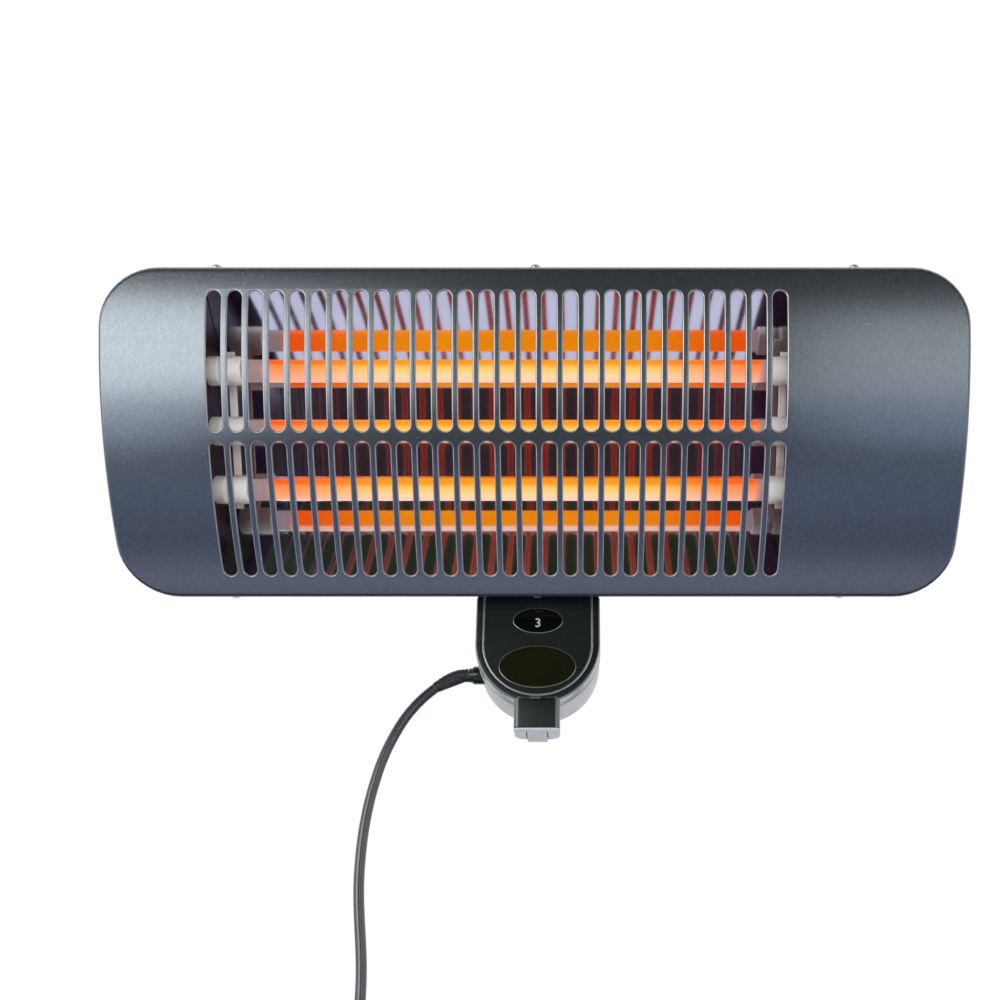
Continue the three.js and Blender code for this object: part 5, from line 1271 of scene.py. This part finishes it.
def build_switch():
    """The block under the box, its bezel and the rocker."""
    pocketed("switch_housing", -118.4 * MM, -98.5 * MM, -108 * MM, 2.4 * MM, "gloss_black",
             "switch_block")
    pocketed("bezel_plate", -120.1 * MM, -118.7 * MM, -118.7 * MM, 0.0, "pale_plastic",
             "switch_bezel")
    bm = bmesh.new()
    half, drop = 8.5 * MM, 8.5 * MM * math.tan(math.radians(8))
    key, root = -4.2 * MM, 0.4 * MM
    corners = [(-half, key - drop), (0, key), (half, key - drop), (half, root), (-half, root)]
    outline = bm.faces.new([bm.verts.new((-6.4 * MM, y, z)) for y, z in corners])
    made = bmesh.ops.extrude_face_region(bm, geom=[outline])["geom"]
    bmesh.ops.translate(bm, vec=(12.8 * MM, 0, 0), verts=[v for v in made if isinstance(v, bmesh.types.BMVert)])
    merge(bm)
    ease(bm, 0.6 * MM, 3, 20)
    pins = turned([(-9 * MM, 0), (-9 * MM, 1.2 * MM), (9 * MM, 1.2 * MM), (9 * MM, 0)], 20)
    spare = bpy.data.meshes.new("pins")
    pins.to_mesh(spare)
    pins.free()
    bm.from_mesh(spare)
    bpy.data.meshes.remove(spare)
    place = Matrix.Translation(ROCKER_PIVOT) @ Matrix.Rotation(math.radians(-8), 4, "X")
    dress("rocker_key", bm, "pale_plastic", "rocker", ["rocker_switch"], place)


def build_box_fittings():
    """The gland, and the screws inside the box."""
    gland = turned([
        (34.7 * MM, 0), (34.7 * MM, 6 * MM), (43.2 * MM, 6 * MM), (43.5 * MM, 5.2 * MM), (44.6 * MM, 5.0 * MM),
        (44.8 * MM, 4.7 * MM), (45.1 * MM, 4.9 * MM), (46.1 * MM, 4.5 * MM), (46.4 * MM, 4.0 * MM), (46.4 * MM, 0),
    ], 48)
    ease(gland, 0.25 * MM)
    dress("lead_gland", gland, "gloss_black", "base", ["cable_gland"],
          aim((0, -30 * MM, -76.7 * MM), (-1, 0, 0)))
    for side, x in (("left", -16), ("right", 16)):
        dress(f"bracket_box_screw_{side}", screw_shape(8 * MM, 2.6 * MM, 4 * MM, 4.6 * MM), "zinc_plate",
              "base", [f"box_screw_{side}"], aim((x * MM, -5.6 * MM, -62 * MM), (0, -1, 0)))


def finish_cad_nodes():
    """Materials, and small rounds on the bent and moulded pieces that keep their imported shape."""
    looks = {
        "wall_bracket": ("powder_coat", 0.5), "tilt_bracket": ("powder_coat", 0.5),
        "reflector_end_left": ("aluminised_sheet", 0.2), "reflector_end_right": ("aluminised_sheet", 0.2),
        "cap_rail_left": ("fired_ceramic", 0.4), "cap_rail_right": ("fired_ceramic", 0.4),
        "terminal_block": ("fired_ceramic", 0.6), "neutral_link_strip": ("brass_strip", 0.2),
        "control_board": ("circuit_board", 0.2), "relay": ("relay_case", 0.6),
    }
    for node, (finish, radius) in looks.items():
        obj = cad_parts[node]
        obj.data.materials.clear()
        obj.data.materials.append(material(finish))
        weld = obj.modifiers.new("Weld", "WELD")
        weld.merge_threshold = 0.005 * MM
        bevel = obj.modifiers.new("Rounds", "BEVEL")
        bevel.width, bevel.segments = radius * MM, 2
        bevel.limit_method, bevel.angle_limit = "ANGLE", math.radians(40)


# ---- The mains lead --------------------------------------------------------------------------------------

# The lead's points across and up, in millimetres, from the gland to the coil
LEAD_Y = -30
LEAD_ROUTE = (
    (-46.7, -76.7), (-52.4, -77.0), (-58.3, -79.0), (-64.1, -82.4), (-71.1, -87.8), (-77.4, -93.7),
    (-83.0, -100.2), (-87.8, -107.0), (-94.8, -120.3), (-100.0, -133.4), (-103.6, -146.4), (-106.3, -159.1),
    (-108.1, -171.7), (-109.2, -184.1), (-109.6, -196.3), (-109.5, -208.4), (-108.7, -220.3),
    (-107.4, -232.0), (-105.9, -243.6), (-104.6, -255.0), (-103.8, -266.0), (-103.5, -277.0),
)
RING_LOOPS = 5
RING_OUTER = 47
RING_STEP = 7.6
RING_LAYER = 7.8
RING_ENTRY = math.radians(120)
RING_BEND = 30
RING_STRAIGHT = 12
RING_TAIL = 52


def ring_points():
    """The coil's points in millimetres, and its middle: one layer wound in, the other wound out."""
    start_x, start_z = LEAD_ROUTE[-1]
    bend_top = start_z - 0.3 - RING_STRAIGHT
    sweep = math.pi - RING_ENTRY
    entry_x = start_x - RING_BEND * (1 - math.cos(sweep))
    entry_z = bend_top - RING_BEND * math.sin(sweep)
    centre_x = entry_x - RING_OUTER * math.cos(RING_ENTRY)
    centre_z = entry_z - RING_OUTER * math.sin(RING_ENTRY)
    front = LEAD_Y - RING_LAYER / 2

    def eased(share):
        share = max(0.0, min(1.0, share))
        return share * share * (3 - 2 * share)

    points = []
    for i in range(6):
        angle = sweep * i / 6
        points.append((
            start_x - RING_BEND * (1 - math.cos(angle)), LEAD_Y + (front - LEAD_Y) * eased(i / 6),
            bend_top - RING_BEND * math.sin(angle),
        ))
    middle = math.pi * RING_LOOPS
    whole = 2 * middle + math.pi - RING_ENTRY
    inner = RING_OUTER - RING_STEP * RING_LOOPS / 2
    count = round(whole / math.tau * 24)
    for i in range(count + 1):
        gone = whole * i / count
        across = eased((gone - middle + math.pi / 2) / math.pi)
        radius = inner + RING_STEP * abs(gone - middle) / math.tau
        angle = RING_ENTRY + gone
        points.append((
            centre_x + radius * math.cos(angle), front + RING_LAYER * across, centre_z + radius * math.sin(angle),
        ))
    x, y, z = points[-1]
    points += [(x, y, z - RING_TAIL / 2), (x, y, z - RING_TAIL)]
    return points, (centre_x, LEAD_Y, centre_z), inner


def bend_along(bm, points):
    """Lays a shape that was turned about +X along a line of points in one upright plane."""
    line, lengths = [], [0.0]
    for before, here, after, beyond in zip(points, points[1:], points[2:], points[3:]):
        into, away = (after - before) / 6, (beyond - here) / 6
        line += interpolate_bezier(here, here + into, after - away, after, 9)[:-1]
    line = [points[0] + (points[1] - points[0]) * k / 8 for k in range(8)] + line
    for here, after in zip(line, line[1:]):
        lengths.append(lengths[-1] + (after - here).length)
    for v in bm.verts:
        i = max(k for k, gone in enumerate(lengths[:-1]) if gone <= max(v.co.x, 0.0))
        tangent = (line[i + 1] - line[i]).normalized()
        upward = tangent.cross(Vector((0, 1, 0))).normalized()
        v.co = line[i] + tangent * (v.co.x - lengths[i]) + Vector((0, v.co.y, 0)) + upward * v.co.z
    bmesh.ops.recalc_face_normals(bm, faces=bm.faces)
    if bm.calc_volume(signed=True) < 0:
        bmesh.ops.reverse_faces(bm, faces=bm.faces[:])


def build_lead(s):
    """The mains lead on its route and in its coil, with the tie and the plug."""
    ring, centre, inner = ring_points()
    points = [(x, LEAD_Y, z) for x, z in LEAD_ROUTE] + ring
    lead = wire_through("mains_lead", [Vector(p) * MM for p in points], s.diameter, "lead_jacket",
                        "base", ["power_cord", "cord_coil"])

    ribs = [(0, 3.5), (0, 4.5), (1.6, 4.5)]
    for k in range(7):
        along, radius = 2.0 + 2.9 * k, 4.35 - 0.1 * k
        ribs += [
            (along, radius - 0.22), (along + 0.5, radius - 0.22), (along + 0.8, radius), (along + 2.7, radius - 0.06),
        ]
    ribs += [(23.2, 3.7), (23.4, 3.5)]
    boot = turned([(a * MM, r * MM) for a, r in ribs], 40, closed=True)
    bend_along(boot, [Vector((x, LEAD_Y, z)) * MM for x, z in LEAD_ROUTE[:7]])
    sleeve = dress("strain_relief", boot, "plug_rubber", "base")

    room = 3.4 + 0.5
    half = RING_LAYER / 2 + room
    low, high = inner - room, RING_OUTER + room
    bm = bmesh.new()
    wall = 1.4
    outline = front_rectangle(bm, (half + wall) * MM, (low - wall) * MM, (high + wall) * MM)
    round_corners(bm, outline, 3.2 * MM, 5)
    face = bm.faces[:][0]
    bmesh.ops.inset_region(bm, faces=[face], thickness=wall * MM, use_boundary=True, use_even_offset=True)
    bmesh.ops.delete(bm, geom=[face], context="FACES")
    made = bmesh.ops.extrude_face_region(bm, geom=bm.faces[:])["geom"]
    bmesh.ops.translate(bm, vec=(0, 12 * MM, 0), verts=[v for v in made if isinstance(v, bmesh.types.BMVert)])
    bmesh.ops.translate(bm, vec=(0, -6 * MM, 0), verts=bm.verts)
    merge(bm)
    ease(bm, 0.35 * MM, 2, 60)
    turn = Matrix.Translation(Vector(centre) * MM) @ Matrix.Rotation(math.pi / 2, 4, "Z")
    tie = dress("lead_tie", bm, "plug_rubber", "base", ["cord_tie"], turn)

    box_low, box_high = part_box("plug_body")
    top = Vector(((box_low.x + box_high.x) / 2, (box_low.y + box_high.y) / 2, box_high.z))
    ribs = []
    for k in range(5):
        along = 1.2 + 2.4 * k
        radius = 5.0 + 0.35 * k
        ribs += [
            (along, radius), (along + 1.4, radius + 0.15), (along + 1.6, radius - 0.7), (along + 2.2, radius - 0.6),
        ]
    body = s.plug_diameter / 2 / MM
    shape = turned([(a * MM, r * MM) for a, r in [(0, 0), (0, 4.4), (0.5, 5.0)] + ribs + [
        (14, 7.0), (16, 10.4), (19, 15.4), (22, body - 0.4), (24, body), (46.4, body), (47.4, body - 0.4),
        (48, body - 1.4), (48, 0),
    ]], 56)
    plug = dress("mains_plug", shape, "plug_rubber", "base", ["plug_body"], aim(top, (0, 0, -1)))
    for side, way in (("left", -1), ("right", 1)):
        pin = turned([(a * MM, r * MM) for a, r in (
            (47.4, 0), (47.4, 2.4), (57, 2.4), (57.3, 2.15), (64.5, 2.15), (65.8, 1.9), (66.6, 1.3), (67, 0),
        )], 32)
        place = aim(top + Vector((way * 9.5 * MM, 0, 0)), (0, 0, -1))
        dress(f"contact_pin_{side}", pin, "brass_strip", "base", [f"plug_pin_{side}"], place)


def build_inner_leads():
    """The lead from the control box to the head, in two pieces that meet on the hinge line."""
    y, z = HINGE.y / MM, HINGE.z / MM
    first = [(-14, -20, -37), (-14, -20, -20), (-12, -21, z - 46), (-6, -28, z - 22), (4, y + 6, z - 5),
             (14, y, z), (24, y, z)]
    lower = wire_through("box_side_lead", [Vector(p) * MM for p in first], 5 * MM, "lead_jacket",
                         "base", ["box_lead"])
    Vector(first[0]) * MM
    bend = []
    for i in range(7):
        angle = math.pi / 2 * i / 6
        bend.append((26 + 15 * math.sin(angle), 76 - 15 * (1 - math.cos(angle)), -20))
    second = [(24.3, 76, -20), *bend, (41, 51.8, -20)]
    upper = wire_through("head_side_lead", [HEAD @ (Vector(p) * MM) for p in second], 5 * MM, "lead_jacket",
                         "head", ["head_lead"])


# ---- Stage ---------------------------------------------------------------------------------------------


def build_camera():
    """The camera at the photograph's viewing angle."""
    data = bpy.data.cameras.new("view")
    data.sensor_width = 36
    data.lens = 34.85
    data.shift_x, data.shift_y = -0.075, 0.12
    data.clip_start = 0.01
    camera = bpy.data.objects.new("view", data)
    camera.location = (0.024, -0.647, -0.262)
    camera.rotation_euler = (math.radians(110), 0, 0)
    bpy.context.scene.collection.objects.link(camera)
    bpy.context.scene.camera = camera


def softbox(name, place, target, width, height, radiance):
    """A rectangular lamp that looks at the target."""
    data = bpy.data.lights.new(name, "AREA")
    data.shape = "RECTANGLE"
    data.size, data.size_y = width, height
    data.energy = radiance * math.pi * width * height
    lamp = bpy.data.objects.new(name, data)
    lamp.location = place
    lamp.rotation_euler = (Vector(target) - Vector(place)).to_track_quat("-Z", "Y").to_euler()
    bpy.context.scene.collection.objects.link(lamp)
    return lamp


def card(name, place, facing, width, height, tone):
    """A plain card that only mirrors and glossy surfaces see."""
    bm = bmesh.new()
    bmesh.ops.create_grid(bm, x_segments=1, y_segments=1, size=0.5)
    turn = Vector(facing).to_track_quat("Z", "Y").to_matrix().to_4x4()
    size = Matrix.Diagonal((width, height, 1, 1))
    bmesh.ops.transform(bm, matrix=Matrix.Translation(place) @ turn @ size, verts=bm.verts)
    mesh = bpy.data.meshes.new(name)
    bm.to_mesh(mesh)
    bm.free()
    finish = Finish(name, base_color=(0, 0, 0, 1), roughness=1.0, specular_ior_level=0.0, emission_strength=1.0,
                    emission_color=(*tone, 1.0))
    mesh.materials.append(finish.material)
    obj = bpy.data.objects.new(name, mesh)
    bpy.context.scene.collection.objects.link(obj)
    obj.visible_camera = obj.visible_diffuse = obj.visible_shadow = obj.visible_transmission = False


def build_floor():
    """A pale matt floor below the plug."""
    bm = bmesh.new()
    bmesh.ops.create_grid(bm, x_segments=8, y_segments=8, size=4, matrix=Matrix.Translation((0, 0, -0.5)))
    mesh = bpy.data.meshes.new("floor")
    bm.to_mesh(mesh)
    bm.free()
    finish = Finish("floor_paper", specular_ior_level=0.1)
    finish.wear(base=finish.mix(finish.noise(30), (0.80, 0.80, 0.80, 1), (0.84, 0.84, 0.84, 1)),
                roughness=finish.noise(50) * 0.1 + 0.85)
    mesh.materials.append(finish.material)
    floor = bpy.data.objects.new("floor", mesh)
    bpy.context.scene.collection.objects.link(floor)


def build_world():
    """White to the camera and in mirrors and glass, and a plain soft level for everything else."""
    world = bpy.data.worlds.new("studio")
    world.use_nodes = True
    bpy.context.scene.world = world
    tree = world.node_tree
    back = tree.nodes["Background"]
    back.inputs["Strength"].default_value = 1.0
    rays = tree.nodes.new("ShaderNodeLightPath")
    tone = tree.nodes.new("ShaderNodeMix")
    tone.data_type = "RGBA"
    tone.inputs[6].default_value = (0.18, 0.20, 0.23, 1)
    tone.inputs[7].default_value = (1, 1, 1, 1)
    shown = rays.outputs["Is Camera Ray"]
    for kind in ("Is Glossy Ray", "Is Transmission Ray"):
        either = tree.nodes.new("ShaderNodeMath")
        either.operation = "MAXIMUM"
        tree.links.new(shown, either.inputs[0])
        tree.links.new(rays.outputs[kind], either.inputs[1])
        shown = either.outputs[0]
    tree.links.new(shown, tone.inputs[0])
    tree.links.new(tone.outputs[2], back.inputs["Color"])


def build_lights():
    """Two lamps that the panel mirrors, five that it does not, and the cards that it mirrors."""
    left = softbox("left_softbox", (-1.20, -1.85, -0.10), (-0.1, -0.12, -0.02), 1.6, 1.14, 3.8)
    left.rotation_euler.rotate_axis("Z", math.radians(-10))
    softbox("right_softbox", (1.04, -1.85, -0.22), (0.1, -0.12, 0.0), 1.05, 0.98, 1.5)
    for name, place, width, height, radiance in (
        ("fill_softbox", (0.1, -1.9, -0.1), 1.4, 1.0, 5.2), ("ceiling_softbox", (0.0, -0.7, 1.5), 1.6, 1.2, 3.8),
        ("left_side_softbox", (-1.5, -0.35, 0.1), 0.9, 1.2, 3.4),
        ("right_side_softbox", (1.5, -0.35, 0.1), 0.9, 1.2, 3.4),
        ("rear_softbox", (0.3, 1.8, 0.5), 1.8, 1.4, 5.0),
    ):
        lamp = softbox(name, place, (0, -0.1, -0.02), width, height, radiance)
        lamp.visible_glossy = lamp.visible_camera = False
    card("upper_card", (0, -2.6, 1.75), (0, 1, 0), 7, 2.9, (0.017, 0.026, 0.016))
    card("middle_card", (0, -2.61, -0.1), (0, 1, 0), 7, 0.8, (0.14, 0.20, 0.19))
    card("far_floor_card", (0, -1.32, -0.49), (0, 0, 1), 5, 0.94, (0.03, 0.02, 0.024))
    card("left_floor_card", (-1.35, -1.36, -0.486), (0, 0, 1), 1.5, 0.8, (1.25, 1.38, 1.65))
    card("right_floor_card", (1.18, -1.36, -0.486), (0, 0, 1), 1.5, 0.8, (0.80, 0.95, 1.27))
    card("floor_card", (0, -0.675, -0.49), (0, 0, 1), 5, 0.35, (0.32, 0.39, 0.58))
    card("fore_card", (0, -0.405, -0.489), (0, 0, 1), 5, 0.19, (0.20, 0.25, 0.40))
    card("left_side_card", (-1.48, -0.35, 0.1), (1, 0, 0), 0.9, 1.2, (1.05, 1.08, 1.12))
    card("right_side_card", (1.48, -0.35, 0.1), (-1, 0, 0), 0.9, 1.2, (1.05, 1.08, 1.12))
    card("near_card", (0, -0.24, -0.488), (0, 0, 1), 1.4, 0.14, (0.64, 0.66, 0.84))
    card("under_card", (0, 0.14, -0.487), (0, 0, 1), 2.4, 0.62, (0.04, 0.05, 0.075))


# ---- Operators -------------------------------------------------------------------------------------------


class HEATER_OT_camera(bpy.types.Operator):
    """Sets the camera at the photograph's viewing angle"""
    bl_idname = "heater.camera"
    bl_label = "Camera"
    bl_options = {"REGISTER", "UNDO"}

    def execute(self, context):
        build_camera()
        return {"FINISHED"}


class HEATER_OT_lead(bpy.types.Operator):
    """Builds the mains lead, its coil, tie and plug"""
    bl_idname = "heater.lead"
    bl_label = "Mains Lead"
    bl_options = {"REGISTER", "UNDO"}

    def execute(self, context):
        build_lead(context.scene.heater_lead)
        return {"FINISHED"}


class HEATER_OT_inner_leads(bpy.types.Operator):
    """Builds the lead between the control box and the head"""
    bl_idname = "heater.inner_leads"
    bl_label = "Inner Leads"
    bl_options = {"REGISTER", "UNDO"}

    def execute(self, context):
        build_inner_leads()
        return {"FINISHED"}


class HEATER_OT_panel(bpy.types.Operator):
    """Builds the bowed front panel with its slots"""
    bl_idname = "heater.front_panel"
    bl_label = "Front Panel"
    bl_options = {"REGISTER", "UNDO"}

    def execute(self, context):
        build_front_panel(context.scene.heater_panel)
        return {"FINISHED"}


class HEATER_OT_housing(bpy.types.Operator):
    """Builds the rear housing"""
    bl_idname = "heater.rear_housing"
    bl_label = "Rear Housing"
    bl_options = {"REGISTER", "UNDO"}

    def execute(self, context):
        build_rear_housing()
        return {"FINISHED"}


class HEATER_OT_reflector(bpy.types.Operator):
    """Builds the bent reflector"""
    bl_idname = "heater.reflector"
    bl_label = "Reflector"
    bl_options = {"REGISTER", "UNDO"}

    def execute(self, context):
        build_reflector()
        return {"FINISHED"}


class HEATER_OT_tubes(bpy.types.Operator):
    """Builds the quartz tubes, their caps and coils"""
    bl_idname = "heater.tubes"
    bl_label = "Heating Tubes"
    bl_options = {"REGISTER", "UNDO"}

    def execute(self, context):
        build_tubes(context.scene.heater_tubes)
        return {"FINISHED"}


class HEATER_OT_head_screws(bpy.types.Operator):
    """Builds the screws of the head"""
    bl_idname = "heater.head_screws"
    bl_label = "Head Screws"
    bl_options = {"REGISTER", "UNDO"}

    def execute(self, context):
        build_head_screws()
        return {"FINISHED"}


class HEATER_OT_connections(bpy.types.Operator):
    """Builds the sleeved leads and the thermal cutout"""
    bl_idname = "heater.connections"
    bl_label = "Connections"
    bl_options = {"REGISTER", "UNDO"}

    def execute(self, context):
        build_connection_space()
        return {"FINISHED"}


class HEATER_OT_tilt_joint(bpy.types.Operator):
    """Builds the pivot bolts and the hand knobs"""
    bl_idname = "heater.tilt_joint"
    bl_label = "Tilt Joint"
    bl_options = {"REGISTER", "UNDO"}

    def execute(self, context):
        build_tilt_joint()
        return {"FINISHED"}


class HEATER_OT_control_box(bpy.types.Operator):
    """Builds the control box's shell and cover"""
    bl_idname = "heater.control_box"
    bl_label = "Control Box"
    bl_options = {"REGISTER", "UNDO"}

    def execute(self, context):
        build_box(context.scene.heater_box)
        return {"FINISHED"}


class HEATER_OT_windows(bpy.types.Operator):
    """Builds the two windows and the display's numeral"""
    bl_idname = "heater.windows"
    bl_label = "Windows"
    bl_options = {"REGISTER", "UNDO"}

    def execute(self, context):
        build_windows(context.scene.heater_box)
        return {"FINISHED"}


class HEATER_OT_switch(bpy.types.Operator):
    """Builds the switch block, its bezel and the rocker"""
    bl_idname = "heater.switch"
    bl_label = "Switch"
    bl_options = {"REGISTER", "UNDO"}

    def execute(self, context):
        build_switch()
        return {"FINISHED"}


class HEATER_OT_fittings(bpy.types.Operator):
    """Builds the lead's gland and the box's screws"""
    bl_idname = "heater.box_fittings"
    bl_label = "Box Fittings"
    bl_options = {"REGISTER", "UNDO"}

    def execute(self, context):
        build_box_fittings()
        return {"FINISHED"}


class HEATER_OT_packed_pieces(bpy.types.Operator):
    """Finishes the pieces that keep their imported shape"""
    bl_idname = "heater.packed_pieces"
    bl_label = "Packed Pieces"
    bl_options = {"REGISTER", "UNDO"}

    def execute(self, context):
        finish_cad_nodes()
        return {"FINISHED"}


class HEATER_OT_stage(bpy.types.Operator):
    """Sets the floor, the world, the lamps and the cards"""
    bl_idname = "heater.stage"
    bl_label = "Stage"
    bl_options = {"REGISTER", "UNDO"}

    def execute(self, context):
        context.scene.view_settings.view_transform = "Standard"
        build_floor()
        build_world()
        build_lights()
        return {"FINISHED"}


OPERATORS = (
    HEATER_OT_camera, HEATER_OT_lead, HEATER_OT_inner_leads, HEATER_OT_panel, HEATER_OT_housing,
    HEATER_OT_reflector, HEATER_OT_tubes, HEATER_OT_head_screws, HEATER_OT_connections, HEATER_OT_tilt_joint,
    HEATER_OT_control_box, HEATER_OT_windows, HEATER_OT_switch, HEATER_OT_fittings, HEATER_OT_packed_pieces,
    HEATER_OT_stage,
)


class HEATER_PT_build(bpy.types.Panel):
    """Lists the heater's operators in the order in which they are run"""
    bl_idname = "HEATER_PT_build"
    bl_label = "Electric Bar Heater"
    bl_space_type = "VIEW_3D"
    bl_region_type = "UI"
    bl_category = "Heater"

    def draw(self, context):
        for operator in OPERATORS:
            self.layout.operator(operator.bl_idname)


SETTINGS = {
    "heater_panel": HeaterPanelSettings, "heater_tubes": HeaterTubeSettings, "heater_box": HeaterBoxSettings,
    "heater_lead": HeaterLeadSettings, "heater_colours": HeaterColourSettings,
}


def register():
    for name, group in SETTINGS.items():
        bpy.utils.register_class(group)
        setattr(bpy.types.Scene, name, PointerProperty(type=group))
    for entry in (*OPERATORS, HEATER_PT_build):
        bpy.utils.register_class(entry)


def unregister():
    for entry in (HEATER_PT_build, *reversed(OPERATORS)):
        bpy.utils.unregister_class(entry)
    for name, group in SETTINGS.items():
        delattr(bpy.types.Scene, name)
        bpy.utils.unregister_class(group)


def main():
    register()
    for operator in OPERATORS:
        group, name = operator.bl_idname.split(".")
        getattr(getattr(bpy.ops, group), name)()


if __name__ == "__main__":
    main()
